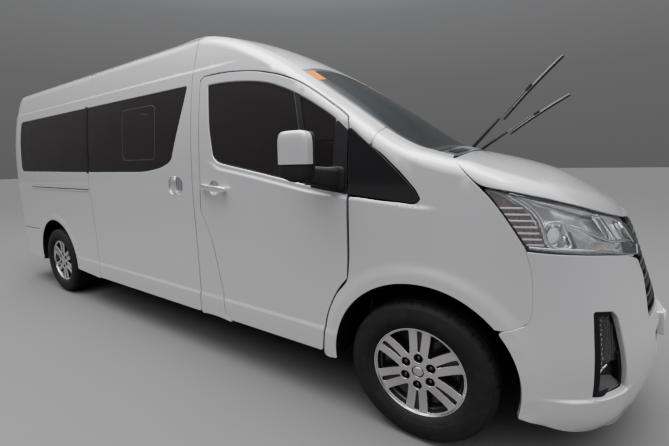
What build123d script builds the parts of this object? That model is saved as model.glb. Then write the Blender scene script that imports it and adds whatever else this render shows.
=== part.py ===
from build123d import *
import os, math

# ---------------------------------------------------------------- driving sizes, mm
# frame: +X forward, +Y the van's left, +Z up, origin on the ground under the centre
LENGTH = 5915.0
WIDTH = 1914.0            # widest body line, at 1080 above the ground
HEIGHT = 2280.0
X_REAR = -LENGTH / 2
X_FRONT = LENGTH / 2
WHEELBASE = 3860.0
X_FRONT_AXLE = 1972.5
X_REAR_AXLE = X_FRONT_AXLE - WHEELBASE
Y_WHEEL = 837.0           # middle plane of each wheel
Z_WHEEL = 347.0           # wheel centre, also the rolling radius
R_TYRE = 347.0
W_TYRE = 235.0
R_RIM = 203.0
R_FLANGE = 219.0
R_ARCH_F, R_ARCH_R = 425.0, 430.0
Z_ARCH = 369.0
GAP = 7.0                 # gap round a door, lid or tailgate
WALL = 46.0               # thickness of a door or side wall
ROOF = 38.0               # thickness of the roof and its lining
GLASS = 5.5
Z_SILL = 303.0
Z_FLOOR = 560.0
Y_KINGPIN = 765.0
STEER = 34.0
X_DOOR_HINGE = 1577.0     # front door hinge line
Y_DOOR_HINGE = 942.0
X_GATE_HINGE, Z_GATE_HINGE = -2777.0, 2133.0
X_HOOD_HINGE, Z_HOOD_HINGE = 2078.0, 1392.0
Y_GATE = 788.0            # half width of the tailgate
Z_GATE_LOW, Z_GATE_TOP = 672.0, 2146.0
Z_RAIL = 2146.0           # top of the body sides, under the roof's edge
Y_CREST = 785.0           # roof edge ahead of the sliding door
Y_SCREEN = 780.0          # half width of the windscreen
X_SCREEN_TOP, X_SCREEN_LOW = 1112.0, 1990.0

# ---------------------------------------------------------------- helpers
def face_of(pts):
    return Face(Wire.make_polygon([Vector(*p) for p in pts], close=True))

def prism_y(pts, y0, y1):
    """side view outline (x, z), pushed from y0 to y1"""
    return Solid.extrude(face_of([(x, y0, z) for x, z in pts]), Vector(0, y1 - y0, 0))

def prism_x(pts, x0, x1):
    """front view outline (y, z), pushed from x0 to x1"""
    return Solid.extrude(face_of([(x0, y, z) for y, z in pts]), Vector(x1 - x0, 0, 0))

def prism_z(pts, z0, z1):
    """plan outline (x, y), pushed from z0 to z1"""
    return Solid.extrude(face_of([(x, y, z0) for x, y in pts]), Vector(0, 0, z1 - z0))

def block(x0, x1, y0, y1, z0, z1):
    return Solid.make_box(x1 - x0, y1 - y0, z1 - z0, Plane((x0, y0, z0)))

def rod(p, q, r):
    v = Vector(*q) - Vector(*p)
    return Solid.make_cylinder(r, v.length, Plane(origin=p, z_dir=v))

def offset_outline(pts, d):
    """moves each side of a closed outline outwards by d, inwards if d is negative"""
    n = len(pts)
    area = sum(pts[i][0] * pts[(i + 1) % n][1] - pts[(i + 1) % n][0] * pts[i][1] for i in range(n))
    s = 1.0 if area > 0 else -1.0
    lines = []
    for i in range(n):
        (x0, z0), (x1, z1) = pts[i], pts[(i + 1) % n]
        l = math.hypot(x1 - x0, z1 - z0)
        nx, nz = s * (z1 - z0) / l, -s * (x1 - x0) / l
        lines.append((x0 + nx * d, z0 + nz * d, (x1 - x0) / l, (z1 - z0) / l))
    out = []
    for i in range(n):
        ax, az, adx, adz = lines[i - 1]
        bx, bz, bdx, bdz = lines[i]
        det = adx * bdz - adz * bdx
        if abs(det) < 1e-3:
            out.append((bx, bz))
        else:
            t = ((bx - ax) * bdz - (bz - az) * bdx) / det
            out.append((ax + adx * t, az + adz * t))
    return out

def fuse(*s):
    a = s[0]
    for b in s[1:]:
        a = a + b
    return a

def solids_of(s):
    if hasattr(s, "solids"):
        return s.solids()
    out = []
    for a in s:
        out += a.solids()
    return out

def keep(s, least=2.0e4):
    """the solids of a cut that are real pieces"""
    out = [a for a in solids_of(s) if a.volume > least]
    return Compound(children=[]) if not out else (out[0] if len(out) == 1 else Compound(out))

# ---------------------------------------------------------------- body surface
# cross section, right half: columns y_half, z, inward y, inward z for a wall
SECTION = [                      # the last two columns say how an offset moves the point
    (950.0, 200.0, 1.00, 0.00),
    (950.0, 700.0, 1.00, 0.00),
    (957.0, 1080.0, 1.00, 0.00),
    (938.0, 1564.0, 0.99, 0.08),
    (915.0, 1755.0, 0.99, 0.14),
    (882.0, 1945.0, 0.98, 0.20),
    (856.0, 2061.0, 0.95, 0.32),
    (790.0, 2161.0, 0.60, 0.85),
    (400.0, 2250.0, 0.15, 1.00),
    (0.0, 2280.0, 0.00, 1.00),
]

def section_prism(t_side, t_top, x0, x1):
    p = []
    for y, z, ny, nz in SECTION:
        p.append((y - t_side * ny if nz < 0.5 else y - t_side * ny, z - t_top * nz))
    def at(i, s):
        return (x0, s * p[i][0], p[i][1])
    def half(s):
        return [Line(at(0, s), at(1, s)),
                ThreePointArc(at(1, s), at(2, s), at(3, s)),
                ThreePointArc(at(3, s), at(4, s), at(5, s)),
                ThreePointArc(at(5, s), at(6, s), at(7, s))]
    roof_mid = (x0, 0.0, p[9][1])
    edges = half(1) + half(-1) + [ThreePointArc(at(7, 1), roof_mid, at(7, -1)), Line(at(0, -1), at(0, 1))]
    f = Face(Wire([e.edge() if hasattr(e, "edge") else e for e in edges]))
    return Solid.extrude(f, Vector(x1 - x0, 0, 0))

# plan outlines at a few heights: columns z, x_front, x_rear
PLAN = [
    (200.0, 2870.0, -2948.0),
    (300.0, 2932.0, -2957.5),
    (480.0, 2957.5, -2957.5),
    (652.0, 2926.0, -2957.5),
    (668.0, 2920.0, -2930.0),
    (1090.0, 2752.0, -2899.0),
    (2000.0, 2752.0, -2830.0),
    (2300.0, 2752.0, -2748.0),
]

def plan_wire(z, xf, xr, t):
    """nose: a wide middle arc and a tighter one to each side; tail: rounded corners"""
    w = 1100.0
    xf -= t
    xr += t
    k = t * 0.9
    def half(s):
        return [(xf - 125, s * (500 - 0.2 * k)), (xf - 305 - 0.1 * t, s * (842 - k)), (2250 - 0.2 * t, s * (960 - t)), (2150, s * w)]
    r, l = half(-1), half(1)
    rc = 160.0 - 0.6 * t
    yc = -795.0 + 0.4 * t
    rear_r = [(xr, yc), (xr + rc * 0.29289, yc - rc * 0.70711), (xr + rc, yc - rc), (xr + 400, -w)]
    rear_l = [(x, -y) for x, y in rear_r]
    def P(q):
        return (q[0], q[1], z)
    e = [ThreePointArc(P(r[0]), (xf, 0, z), P(l[0])),
         ThreePointArc(P(l[0]), P(l[1]), P(l[2])), Line(P(l[2]), P(l[3])),
         Line(P(l[3]), P(rear_l[3])), Line(P(rear_l[3]), P(rear_l[2])),
         ThreePointArc(P(rear_l[2]), P(rear_l[1]), P(rear_l[0])),
         Line(P(rear_l[0]), P(rear_r[0])),
         ThreePointArc(P(rear_r[0]), P(rear_r[1]), P(rear_r[2])), Line(P(rear_r[2]), P(rear_r[3])),
         Line(P(rear_r[3]), P(r[3])), Line(P(r[3]), P(r[2])),
         ThreePointArc(P(r[2]), P(r[1]), P(r[0]))]
    return Wire([a.edge() if hasattr(a, "edge") else a for a in e])

def plan_loft(t):
    return Solid.make_loft([plan_wire(z, xf, xr, t) for z, xf, xr in PLAN], ruled=True)

def crowned(x0, z0, x1, z1, drop, radius, length=9000.0):
    """everything under a crowned surface: a long cylinder whose top line runs
    through (x0, z0) and (x1, z1) in the middle plane, lowered by drop"""
    dx, dz = x1 - x0, z1 - z0
    l = math.hypot(dx, dz)
    ux, uz = dx / l, dz / l
    nx, nz = -uz, ux
    if nz < 0:
        nx, nz = -nx, -nz
    cx, cz = x0 - nx * (drop + radius), z0 - nz * (drop + radius)
    s = (cx - ux * length / 2, 0, cz - uz * length / 2)
    return Solid.make_cylinder(radius, length, Plane(origin=s, z_dir=(ux, 0, uz)))

def envelope(t_side, t_top, t_end):
    """the body's outer skin (all zero), or a skin that lies that far inside it"""
    cabin = section_prism(t_side, t_top, -3200.0, 3200.0) & plan_loft(t_end)
    upper = cabin
    # crowned cuts that bring the roof down to the screen: x0, z0, x1, z1, radius
    for x0, z0, x1, z1, r in ((420, 2281, 700, 2190, 3300), (700, 2190, 1200, 1938, 3700), (1200, 1938, 1950, 1440, 3900)):
        upper = upper & crowned(x0, z0, x1, z1, t_top, r - t_top)
    lower = cabin & block(1500, 3300, -1300, 1300, 150, 1600)
    for x0, z0, x1, z1, r in ((2080, 1397, 2440, 1292, 5200), (2440, 1292, 2700, 1128, 5200)):
        lower = lower & crowned(x0, z0, x1, z1, t_top, r - t_top)
    return upper + lower

E0 = envelope(0, 0, 0)
E_IN = envelope(WALL, ROOF, WALL)
E_GL = envelope(GLASS, GLASS, GLASS)
SHELL = E0 - E_IN
PANE = E0 - E_GL                                   # a layer as thick as the glass
SEC_DOOR = section_prism(WALL, 300.0, -3200.0, 3200.0)      # inside of a door
SEC_OPEN = section_prism(WALL + GAP, 300.0, -3200.0, 3200.0)

# ---------------------------------------------------------------- side view outlines (x, z)
FRONT_DOOR = [(747, 316), (1466, 316), (1474, 428), (1484, 500), (1501, 561), (1526, 623), (1551, 672),
              (1580, 716), (1612, 752), (1617, 852), (1617, 1490), (1610, 1549), (1566, 1586), (1448, 1670),
              (1323, 1750), (1187, 1806), (1003, 1855), (884, 1872), (757, 1885), (560, 1888), (531, 1866),
              (529, 1209), (516, 1043), (543, 977), (605, 847), (637, 701), (671, 547), (702, 350)]
FRONT_GLASS = [(600, 1836), (762, 1832), (889, 1820), (1008, 1803), (1120, 1778), (1260, 1723), (1390, 1654),
               (1511, 1577), (1552, 1546), (1552, 1198), (1398, 1214), (1194, 1253), (979, 1293), (815, 1322),
               (719, 1341), (684, 1356), (657, 1385), (641, 1460), (624, 1552)]
LONG_GLASS_R = [(-960, 1291), (-100, 1290), (100, 1318), (199, 1352), (238, 1380), (261, 1443), (299, 1541),
                (341, 1650), (380, 1762), (406, 1857), (-960, 1858)]
QUARTER_GLASS = [(-2570, 1303), (-1045, 1291), (-1045, 1858), (-2530, 1858), (-2566, 1838), (-2588, 1700), (-2590, 1340)]
SLIDING_DOOR = [(448, 311), (448, 1960), (462, 2139), (-1003, 2139), (-1003, 311)]
FRONT_QUARTER = [(1632, 1488), (1683, 1445), (1778, 1366), (1874, 1276), (1938, 1208), (1958, 1172), (1944, 1158),
                 (1878, 1164), (1683, 1181), (1632, 1192)]
FENDER = [(1622.5, 250), (1622.5, 1530), (1770, 1378), (1862, 1462), (2071, 1500), (2071, 1349), (2182, 1226),
          (2225, 1181), (2300, 1074), (2364, 986), (2380, 950), (2394, 889), (2404, 804), (2405, 743), (2398, 709),
          (2380, 683), (2348, 664), (2300, 645), (2250, 250)]
HOOD = [(2078, 1560), (2078, 1353), (2186, 1234), (2255, 1219), (2389, 1196), (2566, 1163), (2690, 1096),
        (2775, 1046), (3100, 1046), (3100, 1560)]
LAMP = [(2190, 1223), (2255, 1210), (2389, 1187), (2566, 1154), (2686, 1088), (2771, 1039), (2900, 1039), (2900, 966),
        (2377, 966), (2369, 985), (2305, 1077), (2229, 1184)]
BUMPER = [(2250, 190), (2262, 560), (2304, 640), (2350, 660), (2383, 679), (2402, 706), (2409, 743), (2408, 805),
          (2398, 891), (2384, 951), (2381, 962), (3100, 962), (3100, 190)]
SCREEN_PLAN = [(1249, 780), (1190, 590), (1144, 350), (1118, 120), (1118, -120), (1144, -350), (1190, -590), (1249, -780),
               (1990, -780), (1990, 780)]

def side(s, pts, y0=600.0, y1=1100.0):
    return prism_y(pts, s * y0, s * y1)

def sblock(s, x0, x1, y0, y1, z0, z1):
    a, b = sorted((s * y0, s * y1))
    return block(x0, x1, a, b, z0, z1)

def arch(s, x, r, y0=560.0):
    return rod((x, s * y0, Z_ARCH), (x, s * 1200, Z_ARCH), r)

def door_slab(s, outline, gap):
    return ((E0 & side(s, offset_outline(outline, -gap / 2))) - SEC_DOOR)

def opening(s, outline, gap):
    return side(s, offset_outline(outline, gap / 2)) - SEC_OPEN

def pane(s, outline):
    return PANE & side(s, outline)

def glaze(panel, s, outline):
    """cuts the window hole, and a step round it that the glass lies in"""
    panel = panel - side(s, offset_outline(outline, -26))
    return panel - (PANE & side(s, offset_outline(outline, 1.0)))

NODES = {}

# ---------------------------------------------------------------- sides, doors, side glass
glass_panes = []
fenders = []
for s, name in ((-1, "right"), (1, "left")):
    bs = SHELL & (sblock(s, -3200, -2650, 795, 1300, Z_SILL, Z_RAIL)
                  + sblock(s, -2650, 480, 600, 1300, Z_SILL, Z_RAIL)
                  + sblock(s, 480, 2100, Y_CREST + 2, 1300, Z_SILL, 2300))
    bs = bs - side(s, offset_outline(FENDER, 1.5), 700)
    bs = bs - opening(s, FRONT_DOOR, GAP)
    bs = bs - sblock(s, 1500, 1640, 850, 1000, 700, 1566)
    bs = bs - arch(s, X_REAR_AXLE, R_ARCH_R)
    bs = bs - sblock(s, -3200, -2337, 600, 1300, 0, 658)
    bs = bs - sblock(s, -3200, -2838, 700, 1300, 712, 1334)
    bs = bs - sblock(s, 1200, 2100, Y_SCREEN - 50, Y_SCREEN + 6, 1100, 2200)
    if s < 0:
        bs = bs - side(s, offset_outline(SLIDING_DOOR, 2.5))
        sd = SHELL & side(s, offset_outline(SLIDING_DOOR, -2.5))
        sd = glaze(sd, s, LONG_GLASS_R)
        NODES["sliding_door"] = keep(sd)
    else:
        bs = glaze(bs, s, LONG_GLASS_R)
    bs = glaze(bs, s, QUARTER_GLASS)
    bs = bs - side(s, offset_outline(FRONT_QUARTER, 1.0))
    NODES["body_side_" + name] = keep(bs, 3e5)
    glass_panes += [pane(s, LONG_GLASS_R), pane(s, QUARTER_GLASS), pane(s, FRONT_QUARTER)]

    fd = door_slab(s, FRONT_DOOR, GAP)
    fd = fd - arch(s, X_FRONT_AXLE, R_ARCH_F)
    NODES["front_door_" + name] = keep(glaze(fd, s, FRONT_GLASS))
    NODES["front_door_glass_" + name] = keep(pane(s, FRONT_GLASS), 1e3)

    fe = SHELL & side(s, FENDER, Y_CREST)
    fe = fe - arch(s, X_FRONT_AXLE, R_ARCH_F)
    fe = fe - side(s, offset_outline(FRONT_QUARTER, 1.0))
    fe = fe - sblock(s, 0, 2396, 600, 1300, 0, Z_SILL)
    fenders.append(keep(fe, 3e5))

    # mirror, folded back: head, arm and foot on the door
    head = sblock(s, 1345, 1503, 1060, 1150, 1246, 1474)
    head = head.fillet(24, head.edges())
    arm = prism_z([(x, s * y) for x, y in ((1490, 900), (1568, 900), (1568, 966), (1500, 1080), (1425, 1080))], 1250, 1306)
    NODES["mirror_" + name] = keep(fuse(head, arm) - E0)

NODES["front_fenders"] = Compound(fenders)
NODES["side_glass"] = Compound([a for p in glass_panes for a in solids_of(p)])

# ---------------------------------------------------------------- roof, screen, cowl, tailgate
screen = prism_z(SCREEN_PLAN, 1300, 2200)
roof = SHELL & (block(-3200, 480, -1200, 1200, Z_RAIL + 8, 2400)
                + block(480, 1400, -Y_CREST, Y_CREST, 1700, 2400))
roof = roof - prism_z(offset_outline(SCREEN_PLAN, 2.0), 1300, 2300)
NODES["roof_panel"] = keep(roof)
NODES["windscreen"] = keep(PANE & screen)

gate = SHELL & block(-3200, -2655, -Y_GATE, Y_GATE, Z_GATE_LOW, Z_GATE_TOP)
GATE_GLASS = (690.0, 1345.0, 1905.0)
gw, g0, g1 = GATE_GLASS
gate = gate - block(-3200, -2600, -gw + 28, gw - 28, g0 + 28, g1 - 28)
gate = gate - (PANE & block(-3200, -2600, -gw - 1, gw + 1, g0 - 1, g1 + 1))
for y in (-120, 120):                              # holes for a number plate
    gate = gate - rod((-2980, y, 1000), (-2800, y, 1000), 3.5)
NODES["tailgate"] = keep(gate)
NODES["tailgate_glass"] = keep(PANE & block(-3200, -2600, -gw, gw, g0, g1), 1e3)

cowl_top = SHELL & block(1993, 2071, -Y_SCREEN, Y_SCREEN, 1200, 1560)
FIREWALL = [(1640, 562), (1668, 562), (1668, 880), (1960, 1245), (2050, 1245), (2050, 1330), (2022, 1345), (2022, 1275),
            (1945, 1275), (1640, 893)]
TOE_BOARD = [(1480, 572), (1500, 572), (1500, 762), (1668, 880), (1668, 915), (1640, 893), (1480, 777)]
firewall = prism_y(FIREWALL, -524, 524)
for s in (-1, 1):                                   # over and behind each front wheel
    upper = prism_y(FIREWALL, *sorted((s * 524, s * 770))) - block(1500, 1700, -1000, 1000, 500, 880)
    firewall = firewall + upper + prism_y(TOE_BOARD, *sorted((s * 520, s * 770)))
    firewall = firewall + sblock(s, 1480, 1668, 512, 524, 572, 900) - arch(s, X_FRONT_AXLE, 428, 500)
NODES["cowl_panel"] = fuse(cowl_top, firewall)

# ---------------------------------------------------------------- nose and tail
NODES["hood"] = keep(SHELL & prism_y(HOOD, -1100, 1100))
lamps = [keep(SHELL & side(s, LAMP, 560)) for s in (-1, 1)]
NODES["headlamps"] = Compound([a for l in lamps for a in solids_of(l)])
bump = SHELL & prism_y(BUMPER, -1100, 1100)
bump = bump - block(2600, 3100, -556, 556, 637, 1000)
for s in (-1, 1):
    bump = bump - arch(s, X_FRONT_AXLE, R_ARCH_F)
    bump = bump - sblock(s, 2560, 3100, 722, 812, 408, 742)
NODES["front_bumper"] = keep(bump)
GRILLE = [(2560, 640), (3100, 640), (3100, 1039), (2771, 1039), (2686, 1089), (2560, 1150)]
NODES["grille"] = keep(SHELL & prism_y(GRILLE, -553, 553))

rb = SHELL & block(-3200, -2340, -1100, 1100, 310, 652)
for s in (-1, 1):
    rb = rb - arch(s, X_REAR_AXLE, R_ARCH_R)
NODES["rear_bumper"] = keep(rb)
tl = [keep(SHELL & sblock(s, -3200, -2841, 796, 1300, 715, 1331)) for s in (-1, 1)]
NODES["tail_lamps"] = Compound([a for l in tl for a in solids_of(l)])

# ---------------------------------------------------------------- floor and frame
RAIL_Y0, RAIL_Y1 = 430.0, 505.0
Z_FRAME0, Z_FRAME1 = 440.0, 556.0
X_HOUSE0, X_HOUSE1 = X_REAR_AXLE - 441.0, X_REAR_AXLE + 441.0
Z_PLATE0, Z_PLATE1 = Z_FLOOR - 4, Z_FLOOR + 10
floor = [block(-2878, 1476, -633, 633, Z_PLATE0, Z_PLATE1), block(1477, 1636, -516, 516, Z_PLATE0, Z_PLATE1)]
# side strips of the floor: side, x0, x1, y0, y1, z0, z1, with sealed joints of 1 mm
STRIPS = [
    (1, -2770, X_HOUSE0, 634, 885, Z_PLATE0, Z_PLATE1), (-1, -2770, X_HOUSE0, 634, 885, Z_PLATE0, Z_PLATE1),
    (1, X_HOUSE1, 1476, 634, 885, Z_PLATE0, Z_PLATE1),
    (-1, X_HOUSE1, -914, 634, 885, Z_PLATE0, Z_PLATE1), (-1, 394, 1476, 634, 885, Z_PLATE0, Z_PLATE1),
    # the step behind the front door: its tread, back wall and ends
    (-1, -912, 392, 634, 885, 420, 432), (-1, -912, 392, 634, 646, 433, Z_PLATE1),
    (-1, -912, -900, 647, 885, 433, Z_PLATE1), (-1, 380, 392, 647, 885, 433, Z_PLATE1),
    # sills between the wheels
    (1, -1440, 1460, 815, 895, 330, Z_PLATE0 - 1), (-1, -1440, -913, 815, 895, 330, Z_PLATE0 - 1),
    (-1, -912, 392, 815, 895, 330, 419), (-1, 393, 1460, 815, 895, 330, Z_PLATE0 - 1),
]
floor += [sblock(*row) for row in STRIPS]
NODES["floor_pan"] = Compound([a for q in floor for a in solids_of(q)])

# rails, cross members and towing eyes, each a piece of its own with a weld joint of 1 mm
CROSS_X = (-2840, -2330, -1330, -560, 240, 860, 1480, 2560)
frame = [sblock(s, -2880, 2694, RAIL_Y0, RAIL_Y1, Z_FRAME0, Z_FRAME1) for s in (-1, 1)]
for x in CROSS_X:
    frame.append(block(x - 30, x + 30, 1 - RAIL_Y0, RAIL_Y0 - 1, Z_FRAME0 + 10, Z_FRAME1 - 10))
# front radiator and bumper beam
frame.append(block(2695, 2725, -540, 540, 430, 560))
# towing eyes under the right rail, one at each end: x of the bore
for x in (-2830, 2640):
    eye = block(x - 50, x + 50, -520, -420, 378, 398) + block(x - 50, x + 50, -520, -506, 378, Z_FRAME0 + 30)
    frame.append(eye - rod((x, -470, 360), (x, -470, 420), 20))
NODES["chassis_frame"] = Compound([a for q in frame for a in solids_of(q)])

# ---------------------------------------------------------------- wheels
def ring(x, z, y0, y1, r_out, r_in, s):
    return rod((x, s * y0, z), (x, s * y1, z), r_out) - rod((x, s * (y0 - 1), z), (x, s * (y1 + 1), z), r_in)

def tyre(x, s):
    h = W_TYRE / 2
    # half section of the tyre: y from the middle plane, radius
    pts = [(-81.6, R_RIM + 0.3), (-83.6, R_FLANGE + 0.6), (-94, R_FLANGE + 2), (-112, R_FLANGE + 26), (-h, 290), (-111, 322), (-92, 340),
           (-60, R_TYRE), (60, R_TYRE), (92, 340), (111, 322), (h, 290), (112, R_FLANGE + 26), (94, R_FLANGE + 2),
           (83.6, R_FLANGE + 0.6), (81.6, R_RIM + 0.3)]
    f = face_of([(x, s * Y_WHEEL + y, Z_WHEEL + r) for y, r in pts])
    return Solid.revolve(f, 360, Axis((x, 0, Z_WHEEL), (0, 1, 0)))

def rim(x, s):
    # half section of the barrel with its flanges: y outwards from the middle plane, radius
    pts = [(-92, R_FLANGE), (-92, R_FLANGE - 14), (-76, R_RIM - 11), (40, R_RIM - 20), (76, R_RIM - 11), (92, R_FLANGE - 14),
           (92, R_FLANGE), (84, R_FLANGE), (82, R_RIM), (-82, R_RIM), (-84, R_FLANGE)]
    f = face_of([(x, s * (Y_WHEEL + y), Z_WHEEL + r) for y, r in pts])
    barrel = Solid.revolve(f, 360, Axis((x, 0, Z_WHEEL), (0, 1, 0)))
    disc = ring(x, Z_WHEEL, Y_WHEEL + 52, Y_WHEEL + 74, R_RIM - 8, 30, s)
    hub = rod((x, s * (Y_WHEEL - 36), Z_WHEEL), (x, s * (Y_WHEEL + 78), Z_WHEEL), 72)
    body = barrel + disc + hub
    for i in range(6):                                 # windows between the six spokes
        a = math.radians(30 + 60 * i)
        c, d = math.cos(a), math.sin(a)
        q = []
        for r, w in ((104, 16), (104, -16), (178, -62), (178, 62)):
            q.append((x + r * d + w * c, s * (Y_WHEEL + 40), Z_WHEEL + r * c - w * d))
        body = body - Solid.extrude(face_of(q), Vector(0, s * 50, 0))
    brake = rod((x, s * (Y_WHEEL - 37), Z_WHEEL), (x, s * (Y_WHEEL - 13), Z_WHEEL), 150)
    body = body + brake
    return body - rod((x, s * (Y_WHEEL - 70), Z_WHEEL), (x, s * (Y_WHEEL - 10), Z_WHEEL), 32)

# ---------------------------------------------------------------- front axle
susp = block(1915, 2035, -425, 425, 300, 400) + block(1915, 1985, -505, 505, 395, 440)
struts = []
knuckles = {}
for s, name in ((-1, "right"), (1, "left")):
    arm = prism_z([(x, s * y) for x, y in ((1800, 330), (1848, 330), (1958, 640), (1987, 640), (2062, 330), (2110, 330), (2004, 700), (1996, 772), (1949, 772), (1941, 700))], 226, 250)
    arm = arm + rod((X_FRONT_AXLE, s * Y_KINGPIN, 248), (X_FRONT_AXLE, s * Y_KINGPIN, 261), 11)
    arm = arm + sblock(s, 1800, 1850, 330, 380, 226, 330) + sblock(s, 1800, 1960, 330, 380, 300, 330)
    arm = arm + sblock(s, 2036, 2110, 330, 380, 250, 330) + sblock(s, 2000, 2110, 330, 380, 300, 330)
    susp = susp + arm
    strut = rod((X_FRONT_AXLE, s * 640, 702), (X_FRONT_AXLE, s * 640, 1120), 62)
    strut = strut + rod((X_FRONT_AXLE, s * 640, 441), (X_FRONT_AXLE, s * 640, 710), 24)
    strut = strut + sblock(s, X_FRONT_AXLE - 20, X_FRONT_AXLE + 20, 640, 778, 441, 465)
    struts.append(strut)
    k = sblock(s, X_FRONT_AXLE - 32, X_FRONT_AXLE + 32, Y_KINGPIN - 62, Y_KINGPIN + 2, 262, 432)
    k = k + rod((X_FRONT_AXLE, s * (Y_KINGPIN - 20), Z_WHEEL), (X_FRONT_AXLE, s * (Y_WHEEL - 14), Z_WHEEL), 31.5)
    k = k + sblock(s, X_FRONT_AXLE - 150, X_FRONT_AXLE - 20, Y_KINGPIN - 60, Y_KINGPIN - 30, 300, 330)
    knuckles[name] = k
    NODES["knuckle_" + name] = k
    for tag, x in (("front", X_FRONT_AXLE), ("rear", X_REAR_AXLE)):
        NODES["rim_%s_%s" % (tag, name)] = rim(x, s)
        NODES["tyre_%s_%s" % (tag, name)] = tyre(x, s)
NODES["front_suspension"] = Compound([a for q in [susp] + struts for a in solids_of(q)])

liners = []
for s in (-1, 1):
    l = ring(X_FRONT_AXLE, Z_WHEEL + 22, 575, 893, 424, 419, s)
    l = l & sblock(s, 1500, 2400, 500, 1000, 380, 900)
    l = l - rod((X_FRONT_AXLE, s * 640, 500), (X_FRONT_AXLE, s * 640, 1000), 67)
    liners.append(l)
for s in (-1, 1):                                      # rear wheel houses
    house = rod((X_REAR_AXLE, s * 634, Z_WHEEL + 20), (X_REAR_AXLE, s * 890, Z_WHEEL + 20), 440)
    house = house - rod((X_REAR_AXLE, s * 640, Z_WHEEL + 20), (X_REAR_AXLE, s * 1000, Z_WHEEL + 20), 434)
    liners.append(house & sblock(s, -3000, 0, 0, 1000, 445, 1000))
NODES["wheel_liners"] = Compound([a for q in liners for a in solids_of(q)])

# ---------------------------------------------------------------- rear axle
axle = rod((X_REAR_AXLE, -(Y_WHEEL - 66), Z_WHEEL), (X_REAR_AXLE, Y_WHEEL - 66, Z_WHEEL), 38)
axle = axle + rod((X_REAR_AXLE, -(Y_WHEEL - 14), Z_WHEEL), (X_REAR_AXLE, Y_WHEEL - 14, Z_WHEEL), 31.5)
axle = axle + Solid.make_sphere(118, Plane((X_REAR_AXLE, 0, Z_WHEEL)))
axle = axle + rod((X_REAR_AXLE, 0, Z_WHEEL), (X_REAR_AXLE + 220, 0, Z_WHEEL), 55)
axle = axle + rod((X_REAR_AXLE + 200, 0, Z_WHEEL), (1186, 0, Z_WHEEL + 8), 34)
SPRING = [(-650, 74), (-350, -18), (0, -46), (350, -18), (650, 74), (650, 86), (350, 0), (0, -24), (-350, 0), (-650, 86)]
for s in (-1, 1):
    y0, y1 = sorted((s * 434, s * 500))
    leaf = prism_y([(X_REAR_AXLE + x, Z_WHEEL + z) for x, z in SPRING], y0, y1)
    leaf = leaf + block(X_REAR_AXLE - 60, X_REAR_AXLE + 60, y0, y1, Z_WHEEL - 56, Z_WHEEL + 30)
    for x in (-650, 650):
        leaf = leaf + block(X_REAR_AXLE + x - 26, X_REAR_AXLE + x + 26, y0, y1, Z_WHEEL + 60, Z_FRAME0)
    axle = axle + leaf
NODES["rear_axle"] = axle

# ---------------------------------------------------------------- engine, tank, exhaust
NODES["engine_block"] = block(1830, 2420, -290, 290, 442, 985) + block(1190, 1842, -150, 150, 290, 446)
tank = block(-1150, 200, 530, 800, 320, 550)
tank = tank.fillet(30, tank.edges())
NODES["fuel_tank"] = tank
ex = rod((1150, -330, 411), (-2895, -330, 411), 22)
muf = rod((-520, -330, 370), (180, -330, 370), 68)
NODES["exhaust_pipe"] = ex + muf

# ---------------------------------------------------------------- inside
DASH = [(1480, 1010), (1470, 1150), (1500, 1240), (1600, 1292), (1880, 1292), (1930, 1262), (1640, 905), (1560, 905)]
dash = prism_y(DASH, -800, 800)
Y_DRIVER = 470.0
WHEEL_C = (1330.0, Y_DRIVER, 1190.0)
AX = (-0.8, 0.0, 0.6)
column = rod((WHEEL_C[0] + 0.8 * 46, Y_DRIVER, WHEEL_C[2] - 0.6 * 46), (WHEEL_C[0] + 0.8 * 260, Y_DRIVER, WHEEL_C[2] - 0.6 * 260), 34)
NODES["dashboard"] = dash + column
grip = [Vector(*WHEEL_C) + Vector(0, 186, 0) + (Vector(0, 1, 0) * math.cos(math.radians(a)) + Vector(*AX) * math.sin(math.radians(a))) * 15
        for a in range(0, 360, 30)]
sw = Solid.revolve(Face(Wire.make_polygon(grip, close=True)), 360, Axis(WHEEL_C, AX))
hub_a = (WHEEL_C[0] + 0.8 * 38, Y_DRIVER, WHEEL_C[2] - 0.6 * 38)
hub_b = (WHEEL_C[0] - 0.8 * 10, Y_DRIVER, WHEEL_C[2] + 0.6 * 10)
sw = sw + rod(hub_a, hub_b, 55)
for q in ((0, 186), (0, -186)):
    sw = sw + rod((WHEEL_C[0] + 0.8 * 10, Y_DRIVER, WHEEL_C[2] - 0.6 * 10), (WHEEL_C[0], Y_DRIVER + q[1], WHEEL_C[2]), 12)
sw = sw + rod((WHEEL_C[0] + 0.8 * 10, Y_DRIVER, WHEEL_C[2] - 0.6 * 10), (WHEEL_C[0] - 0.6 * 186, Y_DRIVER, WHEEL_C[2] - 0.8 * 186), 12)
NODES["steering_wheel"] = sw

def seat(x, y, w, z=Z_FLOOR + 10, rise=330.0, leg_in=60.0, leg_out=60.0):
    """one seat facing forward: x is the back of the cushion"""
    side_view = [(x, z + rise - 60), (x + 500, z + rise - 40), (x + 500, z + rise + 90), (x + 120, z + rise + 70),
                 (x - 20, z + rise + 640), (x - 130, z + rise + 640), (x - 20, z + rise - 20)]
    q = prism_y(side_view, y - w / 2, y + w / 2)
    head = prism_y([(x - 52, z + rise + 630), (x - 122, z + rise + 630), (x - 170, z + rise + 830), (x - 90, z + rise + 830)], y - 125, y + 125)
    ya, yb = (y - w / 2 + leg_in, y + w / 2 - leg_out) if y > 0 else (y - w / 2 + leg_out, y + w / 2 - leg_in)
    leg = block(x + 60, x + 440, ya, yb, z, z + rise - 50)
    return q + head + leg

# front seats: y of the middle, width
NODES["front_seats"] = Compound([seat(900, y, w, rise=310) for y, w in ((Y_DRIVER, 500), (-Y_DRIVER, 500))])
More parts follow.
